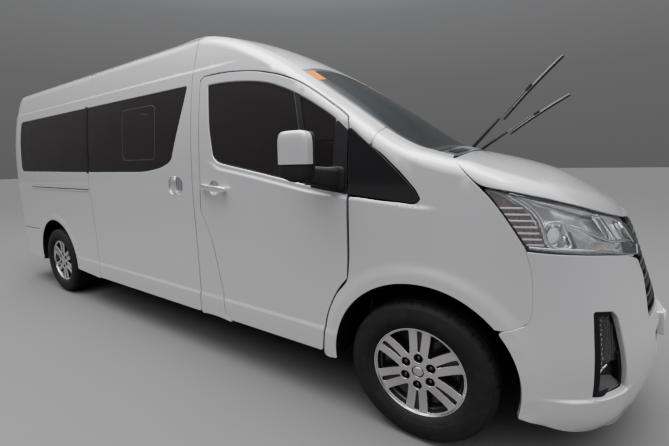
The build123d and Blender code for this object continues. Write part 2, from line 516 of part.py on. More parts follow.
# rows behind: x of the cushion's back, then seats as y of the middle and width
ROWS = [(-90, ((560, 440), (90, 440), (-470, 300))),
        (-860, ((560, 440), (90, 440), (-470, 300))),
        (-1560, ((400, 400), (-20, 400), (-440, 300))),
        (-2420, ((612, 400), (204, 400), (-204, 400), (-612, 400)))]
rear = []
for x, row in ROWS:
    for y, w in row:
        rear.append(seat(x, y, w, rise=305, leg_in=20, leg_out=190 if abs(y) > 600 else 60))
NODES["rear_seats"] = Compound(rear)

# ---------------------------------------------------------------- wipers, raised off the screen
# columns: pivot x, y, z, then the tip x, y, z
WIPERS = [(1998.0, 20.0, 1404.0, 2422.0, 0.0, 1902.0),
          (1998.0, 330.0, 1398.0, 2484.0, 290.0, 1738.0)]
w = []
for x0, y0, z0, x1, y1, z1 in WIPERS:
    w.append(keep(rod((x0, y0, z0), (x1, y1, z1), 9) - E0, 1e3))
NODES["wipers"] = Compound(w)

# ---------------------------------------------------------------- write
os.makedirs("parts", exist_ok=True)
for node, shape in NODES.items():
    ss = solids_of(shape)
    export_step(ss[0] if len(ss) == 1 else Compound(list(ss)), "parts/%s.step" % node)
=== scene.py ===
import math
import bmesh
import bpy
import numpy as np
from mathutils import Vector, Matrix
from mathutils.geometry import delaunay_2d_cdt


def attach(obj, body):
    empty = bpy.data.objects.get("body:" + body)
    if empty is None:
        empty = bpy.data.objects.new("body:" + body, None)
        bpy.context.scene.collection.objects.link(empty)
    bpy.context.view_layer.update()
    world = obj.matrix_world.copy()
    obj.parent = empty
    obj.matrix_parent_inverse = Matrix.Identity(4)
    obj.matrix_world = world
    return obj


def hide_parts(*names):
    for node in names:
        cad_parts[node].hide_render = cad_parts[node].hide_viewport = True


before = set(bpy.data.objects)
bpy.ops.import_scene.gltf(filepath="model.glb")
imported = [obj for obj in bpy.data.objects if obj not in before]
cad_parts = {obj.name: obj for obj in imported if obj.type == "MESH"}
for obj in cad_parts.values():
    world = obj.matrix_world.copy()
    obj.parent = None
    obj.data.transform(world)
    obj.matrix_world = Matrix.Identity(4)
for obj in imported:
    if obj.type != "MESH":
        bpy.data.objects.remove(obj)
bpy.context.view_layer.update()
COL = bpy.context.scene.collection

# ------------------------------------------------------------------ numbers shared with the CAD part, mm
X_FRONT_AXLE, X_REAR_AXLE = 1972.5, -1887.5
Y_WHEEL, Z_WHEEL, R_TYRE, W_TYRE = 837.0, 347.0, 347.0, 235.0
R_ARCH_F, R_ARCH_R, Z_ARCH = 425.0, 430.0, 369.0
Z_SILL, Z_RAIL, Y_CREST, Y_SCREEN, Y_GATE = 303.0, 2146.0, 785.0, 780.0, 788.0

FRONT_DOOR = [(747, 316), (1466, 316), (1474, 428), (1484, 500), (1501, 561), (1526, 623), (1551, 672),
              (1580, 716), (1612, 752), (1617, 852), (1617, 1490), (1610, 1549), (1566, 1586), (1448, 1670),
              (1323, 1750), (1187, 1806), (1003, 1855), (884, 1872), (757, 1885), (560, 1888), (531, 1866),
              (529, 1209), (516, 1043), (543, 977), (605, 847), (637, 701), (671, 547), (702, 350)]
FRONT_GLASS = [(600, 1836), (762, 1832), (889, 1820), (1008, 1803), (1120, 1778), (1260, 1723), (1390, 1654),
               (1511, 1577), (1552, 1546), (1552, 1198), (1398, 1214), (1194, 1253), (979, 1293), (815, 1322),
               (719, 1341), (684, 1356), (657, 1385), (641, 1460), (624, 1552)]
LONG_GLASS = [(-960, 1291), (-100, 1290), (100, 1318), (199, 1352), (238, 1380), (261, 1443), (299, 1541),
              (341, 1650), (380, 1762), (406, 1857), (-960, 1858)]
QUARTER_GLASS = [(-2570, 1303), (-1045, 1291), (-1045, 1858), (-2530, 1858), (-2566, 1838), (-2588, 1700), (-2590, 1340)]
SLIDING_DOOR = [(448, 311), (448, 1960), (462, 2139), (-1003, 2139), (-1003, 311)]
SAIL = [(1632, 1488), (1683, 1445), (1778, 1366), (1874, 1276), (1938, 1208), (1958, 1172), (1944, 1158),
        (1878, 1164), (1683, 1181), (1632, 1192)]
HOOD_EDGE = [(2078, 1353), (2186, 1234), (2255, 1219), (2389, 1196), (2566, 1163), (2690, 1096), (2775, 1046)]
SCREEN_PLAN = [(1249, 780), (1190, 590), (1144, 350), (1118, 120), (1118, -120), (1144, -350), (1190, -590), (1249, -780),
               (1990, -780), (1990, 780)]


# ------------------------------------------------------------------ body surface
class Curve1:
    """a smooth curve through a few points that doesn't overshoot"""

    def __init__(self, x, y):
        x, y = np.array(x, float), np.array(y, float)
        h, d = np.diff(x), np.diff(y) / np.diff(x)
        m = np.zeros_like(y)
        m[0], m[-1] = d[0], d[-1]
        for i in range(1, len(x) - 1):
            if d[i - 1] * d[i] > 0:
                w1, w2 = 2 * h[i] + h[i - 1], h[i] + 2 * h[i - 1]
                m[i] = (w1 + w2) / (w1 / d[i - 1] + w2 / d[i])
        self.x, self.y, self.m = x, y, m

    def __call__(self, q):
        q = np.clip(np.asarray(q, float), self.x[0], self.x[-1])
        i = np.clip(np.searchsorted(self.x, q, side="right") - 1, 0, len(self.x) - 2)
        h = self.x[i + 1] - self.x[i]
        t = (q - self.x[i]) / h
        t2, t3 = t * t, t * t * t
        return ((2 * t3 - 3 * t2 + 1) * self.y[i] + (t3 - 2 * t2 + t) * h * self.m[i]
                + (3 * t2 - 2 * t3) * self.y[i + 1] + (t3 - t2) * h * self.m[i + 1])


HALF = Curve1([200, 260, 300, 455, 700, 886, 1000, 1120, 1207, 1371, 1564, 1755, 1945, 2061, 2300],
              [922, 940, 948, 950, 950.5, 953, 956, 957.5, 956.5, 951, 938, 915, 882, 856, 790])
TOP = Curve1([-2957, -2880, -2800, -2600, -2000, 200, 350, 500, 650, 800, 1000, 1120, 1249, 1400, 1539, 1657, 1757, 1857, 1950, 2010,
              2080, 2162, 2269, 2370, 2467, 2561, 2651, 2700, 2740, 2785, 2850],
             [2080, 2215, 2250, 2276, 2280, 2280, 2275, 2254, 2210, 2147, 2043, 1972, 1888, 1793, 1704, 1623, 1553, 1487, 1434, 1412,
              1393, 1374, 1346, 1315, 1280, 1230, 1170, 1128, 1090, 1040, 950])
CROWN = Curve1([-2957, 200, 450, 700, 1000, 1249, 1539, 1757, 1857, 2000, 2115, 2250, 2500, 2800],
               [1.9e-4, 1.9e-4, 1.55e-4, 1.2e-4, 0.85e-4, 0.75e-4, 1.0e-4, 1.05e-4, 0.95e-4, 0.62e-4, 0.6e-4, 0.8e-4, 0.9e-4, 1.2e-4])
NOSE = Curve1([200, 230, 300, 400, 480, 560, 640, 709, 800, 900, 1000, 1040, 1400],
              [2885, 2905, 2930, 2948, 2955, 2947, 2925, 2905, 2874, 2839, 2803, 2785, 2600])
TAIL = Curve1([200, 300, 480, 640, 652, 668, 1090, 2000, 2300],
              [-2940, -2955, -2957.5, -2954, -2945, -2929, -2899, -2830, -2748])
BELT = Curve1([560, 657, 719, 815, 979, 1194, 1398, 1552, 1632, 1800, 1944, 2100],
              [1390, 1352, 1322, 1305, 1277, 1237, 1200, 1181, 1176, 1164, 1150, 1146])


def st(t):
    t = np.clip(t, 0, 1)
    return t * t * (3 - 2 * t)


def feature(x, z):
    """small outward steps of the side: sill, belt line, wheel arches, fold under the roof"""
    f = 9 * st((466 - z) / 26) * st((x + 1455) / 70) * st((1600 - x) / 130)
    zb = BELT(x)
    f = f + 9 * st((zb + 2 - z) / 22) * np.exp(-np.clip(zb - z, 0, None) / 300) * st((x - 590) / 110) * st((2060 - x) / 110)
    for xa, amp, r, w in ((X_FRONT_AXLE, 13, R_ARCH_F, 62), (X_REAR_AXLE, 7, R_ARCH_R, 40)):
        rho = np.hypot(x - xa, z - Z_ARCH)
        f = f + amp * (1 - st((rho - r - 34) / w))
    f = f - 6 * st((z - 1932) / 16) * st((900 - x) / 260)
    return f


def smax(a, b, r):
    u, v = np.maximum(a + r, 0), np.maximum(b + r, 0)
    return np.where((a > -r) & (b > -r), np.sqrt(u * u + v * v) - r, np.maximum(a, b))


ROUND = Curve1([-2957, 300, 700, 1200, 1900, 2100, 2300, 2600, 2800], [30, 30, 42, 46, 48, 62, 62, 48, 30])


def F(p):
    x, y, z = p[:, 0], p[:, 1], p[:, 2]
    c = HALF(z) + feature(x, z)
    u = np.clip((x - 2150) / (NOSE(z) - 2150), 0, None)
    rho = u ** 3 + (np.abs(y) / c) ** 1.6
    a = c * (rho ** (1 / 1.6) - 1)
    b = z - (TOP(x) - CROWN(x) * y * y)
    rear = smax(a, TAIL(z) - x, 160.0)
    return smax(rear, b, ROUND(x))


def hit(o, d, far=1700.0):
    """where the rays leave the body"""
    lo, hi = np.zeros(len(o)), np.full(len(o), far)
    for _ in range(30):
        mid = (lo + hi) / 2
        inside = F(o + d * mid[:, None]) < 0
        lo, hi = np.where(inside, mid, lo), np.where(inside, hi, mid)
    return o + d * ((lo + hi) / 2)[:, None]


def normals(p, e=1.2):
    g = np.zeros_like(p)
    for k in range(3):
        q = p.copy()
        q[:, k] += e
        a = F(q)
        q[:, k] -= 2 * e
        g[:, k] = a - F(q)
    return g / np.maximum(np.linalg.norm(g, axis=1), 1e-12)[:, None]


def stack(*c):
    n = max(np.size(v) for v in c)
    return np.stack([np.broadcast_to(np.asarray(v, float), (n,)) for v in c], 1)


class Side:
    """seen from the side: x, z"""

    def __init__(self, s):
        self.s = s

    def rays(self, ab):
        return stack(ab[:, 0], 0, ab[:, 1]), stack(0, self.s, 0) + 0 * ab[:, :1]

    def inv(self, p):
        return p[:, [0, 2]]


class Polar:
    """round an axis under the top surface: x, angle * 900, negative on the van's right"""

    def rays(self, ab):
        t = ab[:, 1] / 900.0
        return stack(ab[:, 0], 0, TOP(ab[:, 0]) - 700), stack(0 * t, np.sin(t), np.cos(t))

    def inv(self, p):
        return stack(p[:, 0], 900.0 * np.arctan2(p[:, 1], p[:, 2] - TOP(p[:, 0]) + 700))


class Above:
    def rays(self, ab):
        return stack(ab[:, 0], ab[:, 1], 850.0), stack(0, 0, 1) + 0 * ab[:, :1]

    def inv(self, p):
        return p[:, [0, 1]]


class Nose:
    """round the front from the right side to the left: length along, z"""

    X = 2150.0

    def rays(self, ab):
        t = ab[:, 0]
        al = np.clip((t - self.X) / 800.0, 0, math.pi)
        ox = np.where(t < self.X, t, np.where(t > self.X + 800 * math.pi, 2 * self.X + 800 * math.pi - t, self.X))
        return stack(ox, 0, ab[:, 1]), stack(np.sin(al), -np.cos(al), 0)

    def inv(self, p):
        al = np.arctan2(p[:, 0] - self.X, -p[:, 1])
        t = self.X + 800 * al
        t = np.where(p[:, 0] < self.X, np.where(p[:, 1] < 0, p[:, 0], 2 * self.X + 800 * math.pi - p[:, 0]), t)
        return stack(t, p[:, 2])


class Stern:
    """round the back from the right side to the left: length along, z"""

    X = -2500.0

    def rays(self, ab):
        t = ab[:, 0]
        al = np.clip(t / 800.0, 0, math.pi)
        ox = np.where(t < 0, self.X - t, np.where(t > 800 * math.pi, self.X + t - 800 * math.pi, self.X))
        return stack(ox, 0, ab[:, 1]), stack(-np.sin(al), -np.cos(al), 0)

    def inv(self, p):
        al = np.arctan2(self.X - p[:, 0], -p[:, 1])
        t = 800 * al
        t = np.where(p[:, 0] > self.X, np.where(p[:, 1] < 0, self.X - p[:, 0], 800 * math.pi + p[:, 0] - self.X), t)
        return stack(t, p[:, 2])


class Back:
    def rays(self, ab):
        return stack(-1500.0, ab[:, 0], ab[:, 1]), stack(-1, 0, 0) + 0 * ab[:, :1]

    def inv(self, p):
        return p[:, [1, 2]]


def surf(dom, ab):
    o, d = dom.rays(np.asarray(ab, float).reshape(-1, 2))
    return hit(o, d)


def place(dom, ab):
    return dom.surf(ab) if hasattr(dom, "surf") else surf(dom, ab)


def on_side(pts, s):
    return surf(Side(s), pts)


def on_top(pts):
    return surf(Above(), pts)


def on_back(pts):
    return surf(Back(), pts)


# ------------------------------------------------------------------ outlines
def grow(pts, d):
    """moves each side of a closed outline outwards by d"""
    n = len(pts)
    area = sum(pts[i][0] * pts[(i + 1) % n][1] - pts[(i + 1) % n][0] * pts[i][1] for i in range(n))
    s = 1.0 if area > 0 else -1.0
    lines, out = [], []
    for i in range(n):
        (x0, z0), (x1, z1) = pts[i], pts[(i + 1) % n]
        l = math.hypot(x1 - x0, z1 - z0)
        nx, nz = s * (z1 - z0) / l, -s * (x1 - x0) / l
        lines.append((x0 + nx * d, z0 + nz * d, (x1 - x0) / l, (z1 - z0) / l))
    for i in range(n):
        ax, az, adx, adz = lines[i - 1]
        bx, bz, bdx, bdz = lines[i]
        det = adx * bdz - adz * bdx
        if abs(det) < 1e-3:
            out.append((bx, bz))
        else:
            t = ((bx - ax) * bdz - (bz - az) * bdx) / det
            out.append((ax + adx * t, az + adz * t))
    return out


def ease(pts, r=22.0, n=6):
    """rounds each corner of a closed outline; slight corners become long curves"""
    p = np.array(pts, float)
    out = []
    m = len(p)
    for i in range(m):
        a, b, c = p[i - 1], p[i], p[(i + 1) % m]
        la, lc = np.linalg.norm(a - b), np.linalg.norm(c - b)
        if la < 1e-6 or lc < 1e-6:
            continue
        ua, uc = (a - b) / la, (c - b) / lc
        turn = math.acos(max(-1, min(1, float(-ua @ uc))))
        if turn < 0.01:
            out.append(b)
            continue
        cut = 0.45 * min(la, lc)
        if turn > 0.6:
            cut = min(cut, r * math.tan(turn / 2) * 1.1)
        q0, q1 = b + ua * cut, b + uc * cut
        for k in range(n + 1):
            t = k / n
            out.append((1 - t) ** 2 * q0 + 2 * t * (1 - t) * b + t * t * q1)
    return np.array(out)


def divide(p, seg):
    out = []
    for i in range(len(p)):
        a, b = p[i], p[(i + 1) % len(p)]
        k = max(1, int(math.ceil(np.linalg.norm(b - a) / seg)))
        for j in range(k):
            out.append(a + (b - a) * j / k)
    return np.array(out)


def thin(p, least):
    keep = [p[0]]
    for q in p[1:]:
        if np.linalg.norm(q - keep[-1]) > least:
            keep.append(q)
    if len(keep) > 3 and np.linalg.norm(keep[-1] - keep[0]) < least:
        keep.pop()
    return np.array(keep)


def inside(pts, loops):
    x, y = pts[:, 0], pts[:, 1]
    c = np.zeros(len(pts), bool)
    for lp in loops:
        a, b = lp, np.roll(lp, -1, 0)
        for (x0, y0), (x1, y1) in zip(a, b):
            if y0 != y1:
                t = ((y0 > y) != (y1 > y)) & (x < (x1 - x0) * (y - y0) / (y1 - y0) + x0)
                c ^= t
    return c


def far_from(pts, bound, d):
    keep = np.ones(len(pts), bool)
    for k in range(0, len(pts), 400):
        q = pts[k:k + 400]
        m = np.min(((q[:, None, :] - bound[None]) ** 2).sum(2), 1)
        keep[k:k + 400] = m > d * d
    return keep


def mesh(name, verts, faces, mats, nrm=None, mat_idx=None, smooth=True):
    me = bpy.data.meshes.new(name)
    me.from_pydata([tuple(v) for v in np.asarray(verts) * 0.001], [], [tuple(int(i) for i in f) for f in faces])
    for m in mats:
        me.materials.append(m)
    if mat_idx is not None:
        me.polygons.foreach_set("material_index", np.asarray(mat_idx, np.int32))
    me.polygons.foreach_set("use_smooth", np.full(len(me.polygons), smooth))
    me.update()
    if nrm is not None:
        me.normals_split_custom_set_from_vertices([tuple(v) for v in nrm])
    ob = bpy.data.objects.new(name, me)
    COL.objects.link(ob)
    return ob


def rows_for(kind, dom):
    """points along the small features, so that the mesh follows them"""
    pts = []
    if kind == "none":
        return np.zeros((0, 2))
    s = kind
    for z in (436, 441, 446, 450, 454, 458, 462, 467, 473):
        pts += [(x, z) for x in np.arange(-1460, 1620, 30.0)]
    for dz in (-40, -26, -19, -14, -9, -4, 1, 6):
        pts += [(x, float(BELT(x)) + dz) for x in np.arange(580, 2070, 24.0)]
    for z in (1928, 1934, 1940, 1946, 1952):
        pts += [(x, z) for x in np.arange(-2780, 900, 36.0)]
    for xa, r, w in ((X_FRONT_AXLE, R_ARCH_F, 62), (X_REAR_AXLE, R_ARCH_R, 40)):
        for k in range(7):
            rr = r + 28 + (w + 12) * k / 6
            for a in np.arange(-40, 220, 2.8):
                pts.append((xa + rr * math.cos(math.radians(a)), Z_ARCH + rr * math.sin(math.radians(a))))
    p = on_side(np.array(pts), s)
    return dom.inv(p)


def face_normals(v, tri):
    n = np.zeros_like(v)
    w = np.cross(v[tri[:, 1]] - v[tri[:, 0]], v[tri[:, 2]] - v[tri[:, 0]])
    for k in range(3):
        np.add.at(n, tri[:, k], w)
    return n / np.maximum(np.linalg.norm(n, axis=1), 1e-12)[:, None]


def panel(name, dom, outer, holes=(), seg=15.0, step=44.0, roll=2.6, depth=26.0, off=0.0, mats=None, rows="none",
          corner=14.0, inner=True, rough_grid=None, hole_roll=None, hole_corner=None, flange=None, flange_mat=0, hole_mat=None):
    """A skin on the body's surface with rolled edges, a flange all round and an inner skin.
    outer and holes are points on the surface; off moves the whole piece out along the normal."""
    loops = []
    for k, lp in enumerate([outer] + list(holes)):
        ab = dom.inv(np.asarray(lp, float))
        c = corner if k == 0 or hole_corner is None else hole_corner
        if c:
            ab = ease(ab, c)
        loops.append(thin(divide(ab, seg), 1.2))
    bound = np.concatenate(loops)
    lo, hi = bound.min(0), bound.max(0)
    gx, gy = np.arange(lo[0] + step / 2, hi[0], step), np.arange(lo[1] + step / 2, hi[1], step)
    grid = np.stack(np.meshgrid(gx, gy), -1).reshape(-1, 2)
    extra = rows_for(rows, dom)
    if rough_grid is not None:
        extra = np.concatenate([extra, rough_grid])
    if len(extra):
        extra = extra[(extra > lo).all(1) & (extra < hi).all(1)]
    if len(extra):
        extra = extra[inside(extra, loops)]
        extra = extra[far_from(extra, bound, seg * 0.4)]
        grid = grid[far_from(grid, extra, step * 0.42)] if len(extra) else grid
    grid = grid[inside(grid, loops)]
    grid = grid[far_from(grid, bound, step * 0.45)]
    pts = np.concatenate([bound, grid, extra]) if len(extra) else np.concatenate([bound, grid])
    edges, k = [], 0
    for lp in loops:
        edges += [(k + i, k + (i + 1) % len(lp)) for i in range(len(lp))]
        k += len(lp)
    v2, e2, f2, ov, oe, of_ = delaunay_2d_cdt([Vector(p) for p in pts], edges, [], 0, 1e-4, True)
    v2 = np.array([tuple(v) for v in v2])
    tri = np.array([f for f in f2 if len(f) == 3])
    cen = v2[tri].mean(1)
    tri = tri[inside(cen, loops)]
    # which new vertex each of the outline's points became
    where = {}
    for i, src in enumerate(ov):
        for j in src:
            where[j] = i
    P = place(dom, v2)
    N = dom.normals(v2) if hasattr(dom, "normals") else normals(P)
    lift = (off(P) if callable(off) else off) * np.ones(len(P))
    a, b, c = P[tri[:, 0]], P[tri[:, 1]], P[tri[:, 2]]
    flip = (np.cross(b - a, c - a) * N[tri].mean(1)).sum(1) < 0
    tri[flip] = tri[flip][:, ::-1]
    verts, nrm = [P + N * lift[:, None]], [N]
    if callable(off):
        nrm = [face_normals(verts[0], tri)]
    faces = [list(t) for t in tri]
    idx = [0] * len(faces)
    total = len(P)
    foot = {}
    k = 0
    for li, lp in enumerate(loops):
        ids = [where[k + i] for i in range(len(lp))]
        k += len(lp)
        p, n = P[ids] + N[ids] * lift[ids][:, None], N[ids]
        t = np.roll(p, -1, 0) - np.roll(p, 1, 0)
        t /= np.maximum(np.linalg.norm(t, axis=1), 1e-9)[:, None]
        o = np.cross(t, n)
        o /= np.maximum(np.linalg.norm(o, axis=1), 1e-9)[:, None]
        # outwards means away from the panel
        ab = lp
        area = (ab[:, 0] * np.roll(ab[:, 1], -1) - np.roll(ab[:, 0], -1) * ab[:, 1]).sum() / 2
        probe = v2[ids] + 0
        nxt = np.roll(probe, -1, 0) - np.roll(probe, 1, 0)
        nn = np.stack([nxt[:, 1], -nxt[:, 0]], 1) * (1 if area > 0 else -1)
        nn /= np.maximum(np.linalg.norm(nn, axis=1), 1e-9)[:, None]
        if li > 0:
            nn = -nn
        q3 = place(dom, probe + nn * 3.0) - place(dom, probe)
        if (q3 * o).sum() < 0:
            o = -o
        r = roll if li == 0 or hole_roll is None else hole_roll
        dep = flange if (flange is not None and li == 0) else depth
        ring = ids
        m = len(ids)
        steps = [(math.sin(w) * r, -(1 - math.cos(w)) * r, math.cos(w), math.sin(w)) for w in (0.55, 1.1, math.pi / 2)]
        steps.append((r, -dep, 0.0, 1.0))
        # index 2 of the default materials is the near-black one: the deepest wall of a hole, and of an outer edge given
        # flange_mat=2, is painted shade of the gap, arch or recess, and in window openings also the black seal
        wall = flange_mat if li == 0 else (hole_mat if hole_mat is not None else (2 if mats is None else flange_mat))
        for q_, (so, sn, wn, wo) in enumerate(steps):
            verts.append(p + o * so + n * sn)
            nrm.append(n * wn + o * wo)
            new = list(range(total, total + m))
            total += m
            for i in range(m):
                j = (i + 1) % m
                quad = [ring[i], ring[j], new[j], new[i]]
                faces.append(quad)
                idx.append(wall if q_ == 3 else 0)
            ring = new
        for a_, b_ in zip(ids, range(m)):
            foot[a_] = p[b_] + o[b_] * r - n[b_] * dep
    V = np.concatenate(verts)
    NN = np.concatenate(nrm)
    # turn the flange quads outwards
    for fi in range(len(tri), len(faces)):
        q = faces[fi]
        w = np.cross(V[q[1]] - V[q[0]], V[q[3]] - V[q[0]])
        if (w * NN[q].sum(0)).sum() < 0:
            faces[fi] = q[::-1]
    if inner:
        back = P + N * (lift - depth)[:, None]
        for i, q in foot.items():
            back[i] = q
        V = np.concatenate([V, back])
        NN = np.concatenate([NN, -N])
        for t in tri:
            faces.append([total + t[2], total + t[1], total + t[0]])
            idx.append(1)
    use = mats or [PAINT, TRIM, BLACK_AND_SHADE]
    if len(use) == 1:
        idx = [0] * len(faces)
    return mesh(name, V, faces, use, NN, idx)


# ------------------------------------------------------------------ materials
def material(name, color, metallic=0.0, rough=0.5, vary=0.06, scale=40.0, bump=0.0, bump_scale=400.0, coat=0.0, coat_rough=0.05,
             alpha=1.0, spec=0.5, emit=None, transmission=0.0, ior=1.45, detail=4.0, weave=0.0, sheen=0.0):
    m = bpy.data.materials.new(name)
    m.use_nodes = True
    nt = m.node_tree
    bs = nt.nodes["Principled BSDF"]
    tc = nt.nodes.new("ShaderNodeTexCoord")
    no = nt.nodes.new("ShaderNodeTexNoise")
    no.inputs["Scale"].default_value = scale
    no.inputs["Detail"].default_value = detail
    nt.links.new(tc.outputs["Object"], no.inputs["Vector"])
    ramp = nt.nodes.new("ShaderNodeValToRGB")
    ramp.color_ramp.elements[0].position = 0.3
    ramp.color_ramp.elements[1].position = 0.7
    ramp.color_ramp.elements[0].color = [max(0, c * (1 - vary)) for c in color[:3]] + [1]
    ramp.color_ramp.elements[1].color = [min(1, c * (1 + vary)) for c in color[:3]] + [1]
    nt.links.new(no.outputs["Fac"], ramp.inputs["Fac"])
    nt.links.new(ramp.outputs["Color"], bs.inputs["Base Color"])
    bs.inputs["Metallic"].default_value = metallic
    bs.inputs["Roughness"].default_value = rough
    bs.inputs["Coat Weight"].default_value = coat
    bs.inputs["Coat Roughness"].default_value = coat_rough
    bs.inputs["Alpha"].default_value = alpha
    bs.inputs["Specular IOR Level"].default_value = spec
    bs.inputs["Transmission Weight"].default_value = transmission
    bs.inputs["IOR"].default_value = ior
    bs.inputs["Sheen Weight"].default_value = sheen
    if emit:
        bs.inputs["Emission Color"].default_value = list(emit[:3]) + [1]
        bs.inputs["Emission Strength"].default_value = emit[3]
    height = None
    if weave:
        waves = []
        for axis in ("X", "Z"):
            wv = nt.nodes.new("ShaderNodeTexWave")
            wv.wave_type = "BANDS"
            wv.bands_direction = axis
            wv.inputs["Scale"].default_value = weave
            wv.inputs["Distortion"].default_value = 1.2
            nt.links.new(tc.outputs["Object"], wv.inputs["Vector"])
            waves.append(wv)
        mx = nt.nodes.new("ShaderNodeMath")
        mx.operation = "MAXIMUM"
        nt.links.new(waves[0].outputs["Fac"], mx.inputs[0])
        nt.links.new(waves[1].outputs["Fac"], mx.inputs[1])
        height = mx.outputs["Value"]
    elif bump:
        nb = nt.nodes.new("ShaderNodeTexNoise")
        nb.inputs["Scale"].default_value = bump_scale
        nb.inputs["Detail"].default_value = 2.0
        nt.links.new(tc.outputs["Object"], nb.inputs["Vector"])
        height = nb.outputs["Fac"]
    if height is not None:
        bp = nt.nodes.new("ShaderNodeBump")
        bp.inputs["Strength"].default_value = bump
        bp.inputs["Distance"].default_value = 0.002
        nt.links.new(height, bp.inputs["Height"])
        nt.links.new(bp.outputs["Normal"], bs.inputs["Normal"])
    return m


PAINT = material("silver_paint", (0.53, 0.527, 0.537), metallic=0.40, rough=0.34, vary=0.012, scale=900.0, coat=1.0, coat_rough=0.03, detail=1.0)
TRIM = material("inner_trim", (0.20, 0.195, 0.19), rough=0.8, vary=0.08, scale=60.0, bump=0.15)
# near-black for black plastic parts; on the deep walls of gaps, arches and recesses it is painted shade
BLACK_AND_SHADE = material("black_trim_and_painted_shade", (0.008, 0.008, 0.009), rough=0.75, vary=0.2, scale=60.0, spec=0.12)
GLASS = material("tinted_glass", (0.016, 0.013, 0.014), rough=0.012, vary=0.1, scale=3.0, alpha=0.84, spec=1.0)
SCREEN = material("windscreen_glass", (0.010, 0.012, 0.013), rough=0.02, vary=0.1, scale=3.0, alpha=0.80, spec=0.09)
CLEAR = material("clear_cover", (0.30, 0.31, 0.32), metallic=0.0, rough=0.015, vary=0.02, scale=5.0, alpha=0.10, spec=1.0)
SMOKED = material("fog_cover", (0.03, 0.031, 0.033), rough=0.03, vary=0.05, scale=8.0, alpha=0.35, spec=0.8)
FOGCUP = material("fog_reflector_grey", (0.055, 0.056, 0.06), metallic=0.8, rough=0.26, vary=0.12, scale=60.0)
DULL = material("dull_grey_frame", (0.085, 0.082, 0.083), metallic=0.4, rough=0.40, vary=0.08, scale=40.0)
RUBBER = material("rubber", (0.012, 0.012, 0.013), rough=0.55, vary=0.15, scale=80.0)
TREAD = material("tyre_rubber", (0.0115, 0.011, 0.0108), rough=0.72, vary=0.25, scale=30.0, bump=0.30, bump_scale=700.0, spec=0.22)
GRAIN = material("grained_black", (0.0105, 0.0105, 0.0115), rough=0.60, vary=0.12, scale=120.0, bump=0.10, bump_scale=900.0, spec=0.25)
GLOSS = material("gloss_black", (0.008, 0.008, 0.009), rough=0.10, vary=0.1, scale=10.0, coat=0.5)
CHROME = material("bright_plating", (0.80, 0.81, 0.83), metallic=1.0, rough=0.08, vary=0.03, scale=30.0)
REFLECT = material("lamp_reflector", (0.90, 0.90, 0.91), metallic=0.72, rough=0.10, vary=0.05, scale=20.0, bump=0.08, bump_scale=45.0)
BLUSH = material("side_reflector", (0.27, 0.185, 0.175), metallic=0.6, rough=0.25, vary=0.35, scale=90.0, bump=0.4, bump_scale=220.0)
BRIGHT = material("handle_silver", (0.84, 0.83, 0.83), metallic=0.85, rough=0.18, vary=0.02, scale=80.0, coat=0.8)
SATIN = material("satin_metal", (0.62, 0.62, 0.63), metallic=1.0, rough=0.22, vary=0.06, scale=50.0)
MACHINED = material("machined_alloy", (0.60, 0.585, 0.58), metallic=1.0, rough=0.28, vary=0.05, scale=220.0, bump=0.05, bump_scale=600.0)
# dark paint of the spokes' sides, and painted shade where it closes the pockets
POCKET_PAINT_AND_SHADE = material("wheel_pocket_paint_and_painted_shade", (0.014, 0.014, 0.016), metallic=0.2, rough=0.28, vary=0.12, scale=60.0, coat=0.5)
CAP = material("wheel_cap_silver", (0.50, 0.48, 0.47), metallic=0.9, rough=0.32, vary=0.04, scale=90.0)
NUT = material("dark_plated_nut", (0.10, 0.10, 0.105), metallic=1.0, rough=0.18, vary=0.1, scale=60.0)
GROOVE = material("wheel_groove_grey", (0.030, 0.026, 0.025), metallic=0.3, rough=0.45, vary=0.12, scale=60.0)
STEEL = material("under_steel_black", (0.03, 0.03, 0.032), rough=0.6, vary=0.35, scale=14.0, bump=0.1, bump_scale=200.0)
RAW = material("raw_steel", (0.25, 0.24, 0.235), metallic=0.9, rough=0.45, vary=0.2, scale=30.0)
CAST = material("cast_iron", (0.12, 0.12, 0.122), metallic=0.5, rough=0.6, vary=0.25, scale=25.0, bump=0.3, bump_scale=150.0)
REDLENS = material("red_lens", (0.35, 0.008, 0.008), rough=0.08, vary=0.08, scale=30.0, coat=1.0)
AMBER = material("amber_lens", (0.62, 0.20, 0.05), rough=0.12, vary=0.08, scale=30.0, coat=0.8)
WHITELENS = material("white_lens", (0.72, 0.73, 0.74), rough=0.08, vary=0.05, scale=30.0, coat=1.0, bump=0.2, bump_scale=160.0)
STICKER = material("plain_orange_sticker", (0.52, 0.155, 0.002), rough=0.7, vary=0.05, scale=90.0, spec=0.05)
PLATE = material("blank_plate", (0.80, 0.80, 0.78), rough=0.4, vary=0.03, scale=70.0)
VINYL = material("floor_vinyl", (0.07, 0.068, 0.065), rough=0.75, vary=0.15, scale=50.0, bump=0.2, bump_scale=500.0)
SOFTPLASTIC = material("dash_plastic", (0.028, 0.027, 0.0265), rough=0.66, vary=0.1, scale=90.0, bump=0.05, bump_scale=1200.0, spec=0.3)
CLOTH = material("seat_cloth", (0.17, 0.165, 0.16), rough=0.9, vary=0.14, scale=140.0, bump=0.35, weave=260.0, sheen=0.25)
BOLSTER = material("seat_side_cloth", (0.10, 0.098, 0.096), rough=0.85, vary=0.12, scale=120.0, bump=0.3, weave=320.0, sheen=0.2)
SCREENFACE = material("display_glass", (0.006, 0.007, 0.008), rough=0.06, vary=0.1, scale=10.0, coat=0.8)


def put(ob, body="root", *nodes, slot=None):
    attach(ob, body)
    if nodes:
        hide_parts(*nodes)
    return ob


def arc_side(xa, r, a0, a1, n=40):
    """points of a wheel arch in the side view, from angle a0 to a1 in degrees"""
    return [(xa + r * math.cos(math.radians(a)), Z_ARCH + r * math.sin(math.radians(a))) for a in np.linspace(a0, a1, n)]


